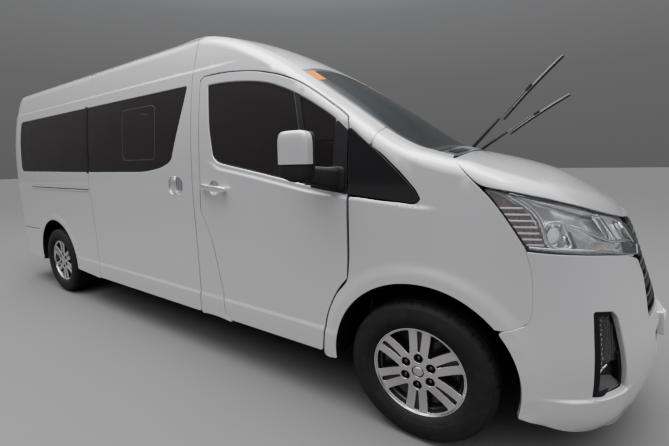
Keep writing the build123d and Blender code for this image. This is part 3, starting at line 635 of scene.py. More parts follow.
# ------------------------------------------------------------------ small solids
def solid(name, verts, faces, mats, idx=None, sharp=32.0, smooth=True):
    """a closed mesh, with its faces turned outwards and its hard edges kept"""
    v = np.asarray(verts, float)
    vol = 0.0
    for f in faces:
        for k in range(1, len(f) - 1):
            vol += float(np.dot(v[f[0]], np.cross(v[f[k]], v[f[k + 1]])))
    if vol < 0:
        faces = [list(f)[::-1] for f in faces]
    ob = mesh(name, v, faces, mats, None, idx, smooth)
    if smooth:
        ob.data.set_sharp_from_angle(angle=math.radians(sharp))
    return ob


class Pile:
    """gathers small closed meshes into one piece"""

    def __init__(self):
        self.v, self.f, self.i, self.n = [], [], [], 0

    def add(self, verts, faces, mat=0):
        v = np.asarray(verts, float)
        c = v.mean(0)
        vol = 0.0
        for f in faces:
            for k in range(1, len(f) - 1):
                vol += float(np.dot(v[f[0]] - c, np.cross(v[f[k]] - c, v[f[k + 1]] - c)))
        if vol < 0:
            faces = [list(f)[::-1] for f in faces]
        self.v.append(v)
        self.f += [[int(q) + self.n for q in f] for f in faces]
        self.i += [mat] * len(faces)
        self.n += len(v)
        return self

    def make(self, name, mats, sharp=32.0):
        ob = mesh(name, np.concatenate(self.v), self.f, mats, None, self.i, True)
        ob.data.set_sharp_from_angle(angle=math.radians(sharp))
        return ob


def swept(path, nrm, section, closed=False, scale=None):
    """pushes a closed section of (across, out) points along a path; nrm is the outward direction there"""
    p = np.asarray(path, float)
    n = np.asarray(nrm, float) * np.ones_like(p)
    if closed:
        t = np.roll(p, -1, 0) - np.roll(p, 1, 0)
    else:
        t = np.gradient(p, axis=0)
    t /= np.maximum(np.linalg.norm(t, axis=1), 1e-9)[:, None]
    n = n - t * (n * t).sum(1)[:, None]
    n /= np.maximum(np.linalg.norm(n, axis=1), 1e-9)[:, None]
    b = np.cross(t, n)
    sec = np.asarray(section, float)
    m, k = len(p), len(sec)
    sc = np.ones(m) if scale is None else np.asarray(scale, float)
    v = (p[:, None, :] + b[:, None, :] * (sec[None, :, 0:1] * sc[:, None, None]) + n[:, None, :] * (sec[None, :, 1:2] * sc[:, None, None])).reshape(-1, 3)
    f = []
    for i in range(m if closed else m - 1):
        j = (i + 1) % m
        for q in range(k):
            r = (q + 1) % k
            f.append([i * k + q, i * k + r, j * k + r, j * k + q])
    if not closed:
        f.append(list(range(k))[::-1])
        f.append([(m - 1) * k + q for q in range(k)])
    return v, f


def rounded(w, h, r, n=4, out=0.0):
    """a rectangle w across and h high with round corners, its middle at height out"""
    r = min(r, w / 2 - 1e-3, h / 2 - 1e-3)
    pts = []
    for cx, cy, a0 in ((w / 2 - r, h / 2 - r, 0), (-w / 2 + r, h / 2 - r, 90), (-w / 2 + r, -h / 2 + r, 180), (w / 2 - r, -h / 2 + r, 270)):
        for k in range(n + 1):
            a = math.radians(a0 + 90.0 * k / n)
            pts.append((cx + r * math.cos(a), out + cy + r * math.sin(a)))
    return pts


def circle(r, n=14):
    return [(r * math.cos(2 * math.pi * k / n), r * math.sin(2 * math.pi * k / n)) for k in range(n)]


def curve_through(pts, n):
    """a smooth line through a few points"""
    p = np.asarray(pts, float)
    d = np.concatenate([[0], np.cumsum(np.linalg.norm(np.diff(p, axis=0), axis=1))])
    out = []
    for t in np.linspace(0, d[-1], n):
        i = int(np.clip(np.searchsorted(d, t) - 1, 0, len(p) - 2))
        a, b = p[i], p[i + 1]
        ma = (p[i + 1] - p[max(i - 1, 0)]) / (d[i + 1] - d[max(i - 1, 0)])
        mb = (p[min(i + 2, len(p) - 1)] - p[i]) / (d[min(i + 2, len(p) - 1)] - d[i])
        h = d[i + 1] - d[i]
        u = (t - d[i]) / h
        out.append((2 * u ** 3 - 3 * u ** 2 + 1) * a + (u ** 3 - 2 * u ** 2 + u) * h * ma + (3 * u ** 2 - 2 * u ** 3) * b + (u ** 3 - u ** 2) * h * mb)
    return np.array(out)


def pod(lo, hi, e=5.0, nu=40, nv=24, cut=None):
    """a box-like form with soft round edges, filling the box from lo to hi"""
    lo, hi = np.array(lo, float), np.array(hi, float)
    v, f = [], []
    for j in range(1, nv):
        th = math.pi * j / nv
        for i in range(nu):
            ph = 2 * math.pi * i / nu
            d = np.array([math.sin(th) * math.cos(ph), math.sin(th) * math.sin(ph), math.cos(th)])
            v.append(d / (np.abs(d) ** e).sum() ** (1 / e))
    v.append(np.array([0, 0, 1.0]))
    v.append(np.array([0, 0, -1.0]))
    for j in range(nv - 2):
        for i in range(nu):
            k = (i + 1) % nu
            f.append([j * nu + i, j * nu + k, (j + 1) * nu + k, (j + 1) * nu + i])
    top, bot = len(v) - 2, len(v) - 1
    for i in range(nu):
        k = (i + 1) % nu
        f.append([top, k, i])
        f.append([bot, (nv - 2) * nu + i, (nv - 2) * nu + k])
    v = np.array(v)
    v = (lo + hi) / 2 + v * (hi - lo) / 2
    if cut is not None:
        v = cut(v)
    return v, f


def brick(lo, hi, r=3.0, seg=2):
    """a box with rounded edges"""
    bm = bmesh.new()
    bmesh.ops.create_cube(bm, size=1.0)
    lo, hi = Vector(lo), Vector(hi)
    for q in bm.verts:
        q.co = Vector(((lo.x + hi.x) / 2 + q.co.x * (hi.x - lo.x), (lo.y + hi.y) / 2 + q.co.y * (hi.y - lo.y),
                       (lo.z + hi.z) / 2 + q.co.z * (hi.z - lo.z)))
    least = min(abs(hi.x - lo.x), abs(hi.y - lo.y), abs(hi.z - lo.z))
    bmesh.ops.bevel(bm, geom=list(bm.edges), offset=min(r, least * 0.45), segments=seg, profile=0.5, affect="EDGES")
    v = [tuple(q.co) for q in bm.verts]
    bm.verts.index_update()
    f = [[q.index for q in face.verts] for face in bm.faces]
    bm.free()
    return np.array(v), f


def lathed(x, s, rows, n=96, z=Z_WHEEL, closed=True, lower=None):
    """turns (outwards from the wheel's middle plane, radius) points about a wheel's axis"""
    rows = np.asarray(rows, float)
    k = len(rows)
    v = np.zeros((n, k, 3))
    for i in range(n):
        a = 2 * math.pi * i / n
        r = rows[:, 1] if lower is None else rows[:, 1] - np.array([lower(i, q) for q in range(k)])
        v[i, :, 0] = x + r * math.cos(a)
        v[i, :, 1] = s * (Y_WHEEL + rows[:, 0])
        v[i, :, 2] = z + r * math.sin(a)
    f = []
    for i in range(n):
        j = (i + 1) % n
        for q in range(k if closed else k - 1):
            r = (q + 1) % k
            f.append([i * k + q, i * k + r, j * k + r, j * k + q])
    return v.reshape(-1, 3), f


SIDES = ((-1, "right"), (1, "left"))
G = 3.5 + 2.6                                     # half a gap and the rolled edge


def nose(pts, s=-1):
    """points given as angle round the front and height on the right side, mirrored for the left"""
    return surf(Nose(), [(Nose.X + 800 * (a if s < 0 else math.pi - a), z) for a, z in pts])


def flip(pts, s):
    p = np.array(pts, float)
    if s > 0:
        p[:, 1] *= -1
    return p


def shell_path(dom, ab):
    p = place(dom, np.array(ab, float))
    return p, normals(p)


# ------------------------------------------------------------------ outlines of the nose, right side, on the surface
HOOD_SIDE = [(2084, -902, 1342), (2140, -949, 1288), (2195, -956, 1236), (2286, -945, 1219), (2378, -912, 1198), (2469, -847, 1171),
             (2538, -767, 1149), (2590, -688, 1127), (2641, -591, 1105), (2697, -450, 1078)]
LAMP_EDGE = [(2205, -956, 1225), (2286, -946, 1207), (2379, -914, 1186), (2470, -848, 1160), (2538, -770, 1137), (2590, -692, 1114),
             (2650, -571, 1091), (2695, -470, 1062), (2742, -380, 1005), (2776, -330, 946), (2778, -378, 908), (2667, -655, 951),
             (2591, -772, 967), (2517, -851, 978), (2446, -901, 985), (2372, -933, 994), (2328, -943, 1063), (2283, -950, 1129), (2237, -955, 1191)]
BUMP_TOP = [(2370, -933, 984), (2447, -901, 977), (2517, -852, 971), (2620, -734, 957), (2722, -546, 928), (2772, -424, 889)]
BUMP_IN = [(0.984, 874), (1.012, 824), (0.990, 776), (0.966, 730), (0.948, 682), (0.955, 652), (1.02, 641), (1.2, 637), (1.4, 635), (math.pi / 2, 635)]
FENDER_GAP = [(2364, 982), (2384, 918), (2394, 855), (2400, 774), (2399, 723), (2383, 693), (2345, 673), (2308, 660)]
BUMPER_GAP = [(2369, 984), (2389, 919), (2399, 856), (2405, 774), (2404, 721), (2386, 688), (2347, 668), (2313, 655)]
FOG = [(0.500, 757), (0.610, 746), (0.642, 722), (0.668, 650), (0.728, 404), (0.570, 389), (0.524, 395)]
STICKER_PLAN = [(1256, -768), (1226, -640), (1324, -656), (1344, -778)]
BOWL_DOOR = [(665 + 56 * math.cos(a), 1195 + 50 * math.sin(a)) for a in np.linspace(0, 2 * math.pi, 28, endpoint=False)]
BOWL_SLIDE = ease([(176, 1134), (346, 1134), (346, 1262), (176, 1262)], 56.0)


def dish(x0, z0, ax, az, deep):
    """a smooth bowl under the side's surface"""
    def f(p):
        q = np.clip(((p[:, 0] - x0) / ax) ** 2 + ((p[:, 2] - z0) / az) ** 2, 0, 1)
        return -deep * (1 - q ** 2) - 1.0
    return f


# ------------------------------------------------------------------ body panels
EDGE_X = -1003.0                                  # rear shut line of the sliding door
LONG_OPEN = [(EDGE_X + 13, 1291)] + LONG_GLASS[1:-1] + [(EDGE_X + 13, 1858)]
QUARTER_OPEN = [(QUARTER_GLASS[0])] + [(EDGE_X - 13, 1291), (EDGE_X - 13, 1858)] + QUARTER_GLASS[3:]
for s, name in SIDES:
    dom = Side(s)
    # front door
    door = grow(FRONT_DOOR, -G)
    ob = panel("door_skin_" + name, dom, on_side(door, s), [on_side(grow(FRONT_GLASS, 1.0), s), on_side(BOWL_DOOR, s)], rows=s, depth=40.0,
               hole_roll=7.0, hole_corner=18.0, hole_mat=0)
    put(ob, "front_door_" + name, "front_door_" + name, slot="body_paint")
    ob = panel("door_bowl_" + name, dom, on_side([(665 + 59 * (x - 665) / 56, 1195 + 53 * (z - 1195) / 50) for x, z in BOWL_DOOR], s),
               off=dish(665, 1195, 60, 54, 36.0), depth=2.0, roll=0.5, step=12.0, seg=8.0, corner=0, inner=False)
    put(ob, "front_door_" + name, slot="body_paint")
    g = panel("door_glass_" + name, dom, on_side(grow(FRONT_GLASS, -0.5), s), off=-7.0, depth=4.5, roll=0.8, mats=[GLASS], corner=18.0)
    put(g, "front_door_" + name, "front_door_glass_" + name, slot="privacy_glass")
    g = panel("door_seal_" + name, dom, on_side(grow(FRONT_GLASS, 0.0), s), [on_side(grow(FRONT_GLASS, -11.0), s)], off=-4.5,
              depth=2.0, roll=1.5, mats=[RUBBER], corner=18.0, hole_corner=12.0)
    put(g, "front_door_" + name, slot="black_plastic")
    # black corner piece that carries the mirror, and the run of the window's front bar
    g = panel("door_sail_" + name, dom, on_side([(1557, 1536), (1611, 1486), (1611, 1185), (1500, 1201), (1392, 1216), (1440, 1232), (1516, 1262), (1535, 1310),
                                                 (1539, 1380), (1544, 1450), (1547, 1515)], s), off=2.6, depth=10.0, roll=2.5, mats=[GRAIN], corner=5.0)
    put(g, "front_door_" + name, slot="black_plastic")
    bar = np.array([(1303, 1700), (1320, 1620), (1336, 1540), (1350, 1455), (1362, 1370), (1372, 1290), (1380, 1222)], float)
    p, n = shell_path(dom, bar)
    v, f = swept(p - n * 4.6, n, rounded(34, 7, 2))
    pile = Pile().add(v, f)
    q, n = shell_path(dom, bar - [15.0, 0.0])
    v, f = swept(q - n * 1.6, n, rounded(4.5, 3.0, 1.0, 2))
    pile.add(v, f, 1)
    g = pile.make("door_bar_" + name, [GRAIN, DULL])
    put(g, "front_door_" + name, slot="gloss_black")
    # handle: a bar on two feet over the bowl
    hx = np.linspace(548, 788, 33)
    out = 15 + 19 * np.clip(1 - np.abs((hx - 668) / 120) ** 5, 0, 1)
    p, n = shell_path(dom, [(x, 1203 - (x - 548) * 0.075) for x in hx])
    wide = 1.0 - 0.62 * np.abs((hx - 668) / 120) ** 7 - 0.10 * np.cos((hx - 668) / 120 * math.pi) * (np.abs(hx - 668) < 60)
    v, f = swept(p + n * out[:, None], n, rounded(38, 20, 7.0, 6), scale=wide)
    pile = Pile().add(v, f)
    for hx0, dz in ((572, 1201.0), (762, 1187.0)):
        p, n = shell_path(dom, [(hx0, dz)])
        v, f = pod((-19, -17, -16), (19, 17, 16), 3.0, 24, 14)
        pile.add(v + p[0] + n[0] * 8, f)
    g = pile.make("door_handle_" + name, [BRIGHT], 50)
    put(g, "front_door_" + name, slot="bright_trim")
    # middle pillar, header and screen pillar
    top = [(p[0], s * 788.0) for p in ((560, 0), (800, 0), (1000, 0), (1249, 0), (1400, 0), (1600, 0), (1852, 0))]
    ring_ = grow(FRONT_DOOR, G)
    low = ring_[10:28] + ring_[0:1]
    outline = [on_side([(455.0, 306.0), (455.0, 1100.0), (455.0, 1960.0), (468.0, 2138.0)], s),
               on_side([(490.0, 2142.0)], s), on_top(top[:-1] + [(1736.0, s * 788.0)]), on_side([(1748.0, 1461.0), (1742.0, 1440.0), (1728.0, 1416.0), (1683.0, 1455.0), (1632.0, 1499.0)], s),
               on_side(low + [(742.0, 306.0)], s)]
    ob = panel("pillar_skin_" + name, Polar(), np.concatenate(outline), rows=s, depth=34.0, corner=10.0)
    put(ob, "root", "body_side_" + name, slot="body_paint")
    # rear side with its corner
    arch = arc_side(X_REAR_AXLE, R_ARCH_R, 180 + 8.6, -8.6, 60)
    if s < 0:
        fwd = [(-1009.0, 306.0), (-1009.0, 1000.0), (-1009.0, 2138.0)]
    else:
        fwd = [(445.0, 306.0), (445.0, 1100.0), (445.0, 1960.0), (456.0, 2138.0)]
    back = [on_back([(s * 799.0, z) for z in np.linspace(2138.0, 1345.0, 19)]), on_side([(-2828.0, 1341.0), (-2828.0, 706.0)], s),
            on_back([(s * 799.0, 704.0), (s * 799.0, 664.0)])]
    outline = [on_side(fwd + [(-2600.0, 2138.0)], s)] + back + [on_side([(-2700.0, 664.0), (-2333.0, 664.0), (-2333.0, 306.0)], s),
               on_side([q for q in arch if q[1] > 306], s)]
    holes = [on_side(grow(QUARTER_OPEN, 1.0), s)]
    if s > 0:
        holes.append(on_side(grow(LONG_OPEN, 1.0), s))
    # flange_mat=2 makes the deep wall round the arch and along the shut lines near-black: painted shade
    ob = panel("quarter_skin_" + name, Stern(), np.concatenate(outline), holes, rows=s, depth=34.0, hole_roll=7.0, corner=10.0, hole_corner=24.0, flange_mat=2)
    put(ob, "root", "body_side_" + name, slot="body_paint")
    for tag, line in (("quarter", QUARTER_OPEN), ("long", LONG_OPEN)):
        g = panel("%s_glass_%s" % (tag, name), dom, on_side(grow(line, -0.5), s), off=-3.0, depth=4.5, roll=0.8, mats=[GLASS], corner=20.0)
        put(g, "root", "side_glass", slot="privacy_glass")
        g = panel("%s_band_%s" % (tag, name), dom, on_side(grow(line, 0.6), s), [on_side(grow(line, -15.0), s)], off=-2.2,
                  depth=1.6, roll=1.0, mats=[GLOSS], corner=20.0, hole_corner=16.0)
        put(g, "root", slot="gloss_black")
    # black strips that hide the pillar between the two panes
    strips = ((EDGE_X - 21, EDGE_X - 3.2), (EDGE_X + 3.2, EDGE_X + 21)) if s < 0 else ((EDGE_X - 21, EDGE_X + 21),)
    for k, (xa, xb) in enumerate(strips):
        g = panel("pillar_band_%s_%d" % (name, k), dom, on_side([(xa, 1286), (xb, 1286), (xb, 1863), (xa, 1863)], s), off=1.0, depth=14.0, roll=0.8,
                  step=16.0, mats=[GLOSS], corner=1.0)
        put(g, "root", slot="gloss_black")
    # thin frame of the sliding pane inside the long window
    inner = ease([(-400, 1385), (40, 1385), (40, 1770), (-400, 1770)], 45.0)
    p, n = shell_path(dom, divide(np.array(inner), 40.0))
    v, f = swept(p - n * 2.6, n, rounded(4.5, 1.6, 0.7, 2), closed=True)
    g = solid("pane_frame_" + name, v, f, [DULL])
    put(g, "root", slot="black_plastic")
    # sail in front of the door
    g = panel("sail_" + name, dom, on_side([(1621.5, 1500.0)] + grow(SAIL, 2.0)[1:-1] + [(1621.5, 1188.0)], s), off=1.4, depth=16.0, roll=2.0, mats=[GLOSS], corner=6.0)
    put(g, "root", "side_glass", slot="gloss_black")
    # fender with the strip behind the wheel
    arch = arc_side(X_FRONT_AXLE, R_ARCH_F, 43.2, 188.4, 70)
    swing = (ring_[7][0] + 6.5, ring_[7][1] - 2.5)                # the door's edge comes forward here when it opens
    lead = on_side([(ring_[1][0] + 4.0, 306.0), (ring_[2][0] + 5.0, ring_[2][1]), (ring_[3][0] + 3.0, ring_[3][1])] + ring_[4:7] + [swing, ring_[8]] + [(1628.5, 860.0), (1628.5, 1170.0)], s)
    outline = [lead,
               on_side([(1683.0, 1168.0), (1878.0, 1153.0), (1946.0, 1147.0), (1971.0, 1171.0), (1948.0, 1216.0), (1884.0, 1286.0), (1793.0, 1371.0),
                        (1734.0, 1412.0), (1747.5, 1437.0), (1753.5, 1458.5)], s),
               on_top([(1742.5, s * 788.0), (1866.0, s * 788.0), (1950.0, s * 790.0), (2062.0, s * 794.0)]),
               flip([(2073, -893, 1351), (2131, -950, 1283), (2189, -956, 1228), (2230, -956, 1187), (2277, -951, 1125), (2322, -945, 1059),
                     (2364, -936, 990)], s),
               on_side(FENDER_GAP, s), on_side(arch, s)]
    # flange_mat=2 makes the deep wall round the arch and along the shut lines near-black: painted shade
    ob = panel("fender_skin_" + name, Polar(), np.concatenate(outline), rows=s, depth=26.0, corner=9.0, flange_mat=2)
    put(ob, "root", "front_fenders", "body_side_" + name, slot="body_paint")

# sliding door with its bowl
s = -1
dom = Side(s)
ob = panel("sliding_skin", dom, on_side(grow(SLIDING_DOOR, -5.2), s), [on_side(grow(LONG_OPEN, 1.0), s), on_side(BOWL_SLIDE, s)], rows=s, depth=40.0,
           hole_roll=7.0, hole_corner=20.0, hole_mat=0)
put(ob, "root", "sliding_door", slot="body_paint")
ob = panel("sliding_bowl", dom, on_side(grow([tuple(q) for q in BOWL_SLIDE], 3.0), s), off=dish(263, 1198, 92, 70, 40.0), depth=2.0, roll=0.5, step=12.0,
           seg=8.0, corner=0, inner=False)
put(ob, "root", slot="body_paint")
hz = np.linspace(1142, 1258, 25)
out = -9 + 12 * np.clip(1 - np.abs((hz - 1200) / 58) ** 4, 0, 1)
p, n = shell_path(dom, [(252, z) for z in hz])
v, f = swept(p + n * out[:, None], n, rounded(48, 20, 8, 5), scale=1.0 - 0.25 * np.abs((hz - 1200) / 58) ** 5)
pile = Pile().add(v, f)
p, n = shell_path(dom, [(252, 1256)])
v, f = pod((-23, -9, -8), (23, 9, 8), 3.0, 24, 12)
pile.add(v + p[0] + n[0] * -3, f)
ob = pile.make("sliding_handle", [BRIGHT], 50)
put(ob, "root", slot="bright_trim")
# dark patch in the bowl to the grip's right: painted shade of the slot behind the grip
ob = panel("sliding_slot_painted_shade", dom, on_side([(282, 1158), (318, 1164), (328, 1200), (318, 1234), (282, 1242)], s), off=dish(263, 1198, 92, 70, 37.0), depth=3.0, roll=0.6,
           step=10.0, seg=8.0, mats=[DULL], corner=12.0)
put(ob, "root", slot="black_plastic")
# rail behind the sliding door: a dark strip on the surface as painted shade of the slot, over a bright lip, and the
# fold above it
rail_x = np.linspace(-2350, -1022, 60)
p, n = shell_path(dom, [(x, 1139.0) for x in rail_x])
v, f = swept(p, n, rounded(11, 3.0, 1.0, 2, out=-0.4))
# near-black strip standing for the shaded slot: painted shade
ob = solid("rail_slot_painted_shade", v, f, [RUBBER])
put(ob, "root", slot="black_plastic")
p, n = shell_path(dom, [(x, 1128.0) for x in rail_x])
v, f = swept(p, n, rounded(11, 9, 3.5, 4, out=0.0))
ob = solid("rail_lip", v, f, [PAINT])
put(ob, "root", slot="body_paint")
p, n = shell_path(dom, [(x, 1176.0) for x in rail_x])
v, f = swept(p, n, rounded(7, 3.0, 1.4, 3, out=0.0))
ob = solid("rail_upper_fold", v, f, [PAINT])
put(ob, "root", slot="body_paint")

# roof
def roof_edge(s):
    return [(-2655.0, s * 806.0), (-2000.0, s * 806.0), (-1000.0, s * 806.0), (0.0, s * 806.0), (380.0, s * 805.0), (470.0, s * 800.0),
            (520.0, s * 783.0), (800.0, s * 782.0), (1249.0 - 12, s * 782.0)]


head = [(1240.0, -770.0), (1184.0, -590.0), (1138.0, -350.0), (1112.0, -120.0), (1112.0, 120.0), (1138.0, 350.0), (1184.0, 590.0), (1240.0, 770.0)]
corner_line = [(797.0, 2149.5), (784.0, 2151.0), (765.0, 2153.5), (745.0, 2157.0), (720.0, 2162.0), (690.0, 2166.5), (650.0, 2169.0), (600.0, 2168.5)]
rear_line = on_back(corner_line + [(y, 2166.0) for y in (500.0, 250.0, 0.0, -250.0, -500.0)] + [(-y, z) for y, z in corner_line[::-1]])
outline = np.concatenate([on_top(roof_edge(-1)), on_top(head), on_top(roof_edge(1)[::-1]), rear_line])
ob = panel("roof_skin", Above(), outline, depth=34.0, step=60.0, corner=14.0)
put(ob, "root", "roof_panel", slot="body_paint")

# windscreen
ob = panel("screen_glass", Above(), on_top(grow(SCREEN_PLAN, -2.0)), depth=5.0, off=-2.0, roll=1.0, mats=[SCREEN], corner=30.0, step=50.0)
put(ob, "root", "windscreen", slot="privacy_glass")
ob = panel("screen_band", Above(), on_top(grow(SCREEN_PLAN, 3.0)), [on_top(grow(SCREEN_PLAN, -30.0))], depth=3.0, off=-0.8, roll=1.2, mats=[GLOSS],
           corner=30.0, hole_corner=40.0, step=50.0)
put(ob, "root", slot="gloss_black")
ob = panel("screen_sticker", Above(), on_top(STICKER_PLAN), depth=1.0, off=-0.4, roll=0.3, step=20.0, mats=[STICKER], corner=6.0)
put(ob, "root", slot="bright_trim")

# black cover between the glass and the hood
cow = [(1999, -772), (2074, -790), (2080, -500), (2082, -250), (2083, 0), (2082, 250), (2080, 500), (2074, 790), (1999, 772)]
ob = panel("cowl_cover", Above(), on_top(cow), depth=8.0, off=-3.0, roll=2.0, step=40.0, mats=[GRAIN], corner=8.0)
put(ob, "root", slot="black_plastic")
pile = Pile()
for y in range(-690, 700, 30):
    p, n = shell_path(Above(), [(x, y) for x in np.linspace(2016, 2058, 5)])
    v, f = swept(p + n * -1.0, n, rounded(7, 5, 1.5, 2))
    pile.add(v, f)
ob = pile.make("cowl_ribs", [GRAIN])
put(ob, "root", slot="black_plastic")

# hood
front = nose([(1.10, 1062.0), (1.33, 1052.0), (math.pi / 2, 1048.0)])
mid = np.concatenate([front, flip(front[:2][::-1], 1)])
back_edge = on_top([(2089.0, y) for y in (870.0, 700.0, 500.0, 250.0, 0.0, -250.0, -500.0, -700.0, -870.0)])
outline = np.concatenate([np.array(HOOD_SIDE, float), mid, flip(HOOD_SIDE, 1)[::-1], back_edge])
ob = panel("hood_skin", Polar(), outline, depth=22.0, step=40.0, corner=12.0)
put(ob, "hood", "hood", slot="body_paint")


# front bumper
def lip_z(al):
    return np.interp(al, [0.33, 0.50, 0.515, 0.56, 0.714, 0.76, 1.0], [399, 400, 400, 402, 416, 418, 420])


def lip(p):
    """the lower part of the bumper stands out under the fog lamps"""
    al = np.arctan2(p[:, 0] - Nose.X, np.abs(p[:, 1]))
    return 11.0 * st((lip_z(al) - p[:, 2]) / 12.0) * st((al - 0.30) / 0.16) * st((p[:, 2] - 200) / 90.0) * st((0.80 - al) / 0.13)


bo = []
for s in (-1, 1):
    e = on_side([(2398.0, 293.0)] + arc_side(X_FRONT_AXLE, R_ARCH_F, -10.2, 40.0, 20) + BUMPER_GAP[::-1], s)
    low = nose([(1.5, 160.0), (1.2, 160.0), (0.90, 167.0), (0.77, 180.0), (0.65, 209.0), (0.513, 234.0), (0.386, 264.0), (0.30, 284.0)], s)
    bo.append(np.concatenate([low, e, flip(BUMP_TOP, s), nose(BUMP_IN[:-1], s)]))
outline = np.concatenate([bo[0], nose(BUMP_IN[-1:]), bo[1][::-1]])
holes = [nose(FOG, s) for s in (-1, 1)]
holes.append(np.concatenate([nose([(1.02, 575.0), (1.10, 585.0), (1.35, 588.0)]), nose([(math.pi / 2, 588.0)]), nose([(1.35, 588.0), (1.10, 585.0), (1.02, 575.0)], 1),
                             nose([(1.07, 440.0), (1.14, 425.0), (1.35, 420.0)], 1), nose([(math.pi / 2, 420.0)]), nose([(1.35, 420.0), (1.14, 425.0), (1.07, 440.0)])]))
grid = []
for dz in (-19, -15, -12, -9, -6, -3, 0, 3):
    for a in np.arange(0.30, math.pi - 0.30, 0.022):
        grid.append((Nose.X + 800 * a, float(lip_z(min(a, math.pi - a))) + dz))
ob = panel("front_bumper_skin", Nose(), outline, holes, depth=26.0, off=lip, step=38.0, corner=12.0, hole_roll=5.0, hole_corner=14.0, rough_grid=np.array(grid, float), hole_mat=0)
put(ob, "root", "front_bumper", slot="body_paint")


def fog_off(p):
    """the frame of the fog lamp lies deeper towards the middle of the van"""
    al = np.arctan2(p[:, 0] - Nose.X, np.abs(p[:, 1]))
    return -6.0 - 14.0 * st((al - 0.585) / 0.06)


for s, name in SIDES:
    # fog recess: black bucket, lamp and its bright edge
    ob = panel("fog_bucket_" + name, Nose(), nose([(a + (0.004 if a > 0.6 else -0.004), z) for a, z in FOG], s), off=-44.0, depth=3.0, roll=1.0, step=26.0,
               mats=[GRAIN], corner=14.0)
    put(ob, "root", slot="black_plastic")
    ob = panel("fog_frame_" + name, Nose(), nose(FOG, s), [nose([(0.536, 733), (0.608, 728), (0.635, 706), (0.660, 640), (0.677, 575), (0.664, 560), (0.702, 422), (0.584, 409), (0.560, 413)], s)],
               off=fog_off, depth=26.0, roll=1.0, step=26.0, mats=[BLACK_AND_SHADE], corner=12.0, hole_corner=10.0)
    put(ob, "root", slot="gloss_black")
    ob = panel("fog_reflector_" + name, Nose(), nose([(0.528, 722), (0.606, 716), (0.634, 700), (0.656, 640), (0.662, 532), (0.586, 541), (0.546, 506)], s), off=-32.0,
               depth=6.0, roll=2.0, step=20.0, mats=[FOGCUP], corner=10.0)
    put(ob, "root", slot="lamp_glass")
    ob = panel("fog_glass_" + name, Nose(), nose([(0.526, 728), (0.612, 722), (0.638, 704), (0.663, 640), (0.672, 532), (0.580, 540), (0.540, 508)], s), off=lambda p: fog_off(p) - 5.0,
               depth=2.5, roll=0.8, step=20.0, mats=[SMOKED], corner=10.0)
    put(ob, "root", slot="lamp_glass")
    pile = Pile()
    for k, z in enumerate(np.linspace(520, 712, 11)):
        q = nose([(float(np.interp(z, [520, 600, 712], [0.572, 0.566, 0.557])) - 0.004 * (k % 2), z)], s)
        w = normals(q)
        v, f = pod((-2.6, -2.6, -4.5), (2.6, 2.6, 4.5), 3.0, 12, 8)
        pile.add(v + q[0] - w[0] * 14.5, f)
    p = nose([(0.556, 494), (0.574, 514), (0.596, 530)], s)
    n = normals(p)
    v, f = swept(p - n * 16, n, rounded(6, 5, 2, 3))
    pile.add(v, f)
    for a in (0.578, 0.594, 0.610, 0.626, 0.642):
        p = nose([(a, z) for z in (556, 600, 650, 702 - 400 * max(0.0, a - 0.61))], s)
        n = normals(p)
        v, f = swept(p - n * 27, n, rounded(3, 8, 1, 2))
        pile.add(v, f, 1)
    ob = pile.make("fog_strip_" + name, [SATIN, DULL])
    put(ob, "root", slot="lamp_glass")
    ob = panel("fog_shelf_" + name, Nose(), nose([(0.558, 466), (0.62, 462), (0.672, 454), (0.714, 418), (0.62, 402), (0.575, 401), (0.552, 408)], s),
               off=lambda p: -17.0 - 22.0 * st((p[:, 2] - 408) / 52.0), depth=4.0, roll=1.0, step=14.0, mats=[DULL], corner=8.0)
    put(ob, "root", slot="black_plastic")

    # headlamp: bucket, reflectors, projector, blades, cover
    edge = flip(LAMP_EDGE, s)
    ob = panel("lamp_bucket_" + name, Nose(), edge, off=-52.0, depth=3.0, roll=2.0, step=30.0, mats=[REFLECT], corner=8.0)
    put(ob, "root", "headlamps", slot="bright_trim")
    cover = panel("lamp_cover_" + name, Nose(), edge, off=-0.5, depth=3.0, roll=1.5, step=30.0, mats=[CLEAR], corner=8.0)
    put(cover, "root", "headlamps", slot="lamp_glass")
    # black lip round the cover
    ab = ease(Nose().inv(edge), 8.0)
    p, n = shell_path(Nose(), divide(ab, 26.0))
    v, f = swept(p - n * 5.0, n, rounded(5, 9, 1.2, 2), closed=True)
    ob = solid("lamp_rim_" + name, v, f, [GLOSS])
    put(ob, "root", slot="gloss_black")
    # side reflector with its slats
    ob = panel("lamp_side_" + name, Nose(), nose([(0.075, 1213), (0.124, 1196), (0.170, 1170), (0.214, 1152), (0.242, 1126), (0.264, 1096), (0.279, 1060),
                                                  (0.292, 1027), (0.31, 998), (0.236, 1001), (0.185, 1064), (0.125, 1140)], s), off=-34.0, depth=4.0, roll=1.5,
               step=22.0, mats=[BLUSH], corner=6.0)
    put(ob, "root", slot="bright_trim")
    pile = Pile()
    for a0, a1, z0, z1 in ((0.115, 0.205, 1150, 1152), (0.135, 0.235, 1126, 1128), (0.156, 0.252, 1103, 1104), (0.175, 0.264, 1079, 1080), (0.194, 0.273, 1056, 1057),
                           (0.212, 0.282, 1033, 1034), (0.230, 0.293, 1012, 1012)):
        p = nose([(a, z0 + (z1 - z0) * (a - a0) / (a1 - a0)) for a in np.linspace(a0, a1, 9)], s)
        n = normals(p)
        v, f = swept(p - n * 20.0, n, rounded(6.5, 22, 2.0, 2))
        pile.add(v, f)
    ob = pile.make("lamp_slats_" + name, [REFLECT])
    put(ob, "root", slot="bright_trim")
    # plated arc in front of the slats
    p = curve_through(nose([(0.150, 1203), (0.214, 1166), (0.252, 1134), (0.276, 1098), (0.292, 1058), (0.306, 1020), (0.330, 1000)], s), 30)
    n = normals(p)
    v, f = swept(p - n * 19.0, n, rounded(15, 26, 5, 4))
    pile = Pile().add(v, f)
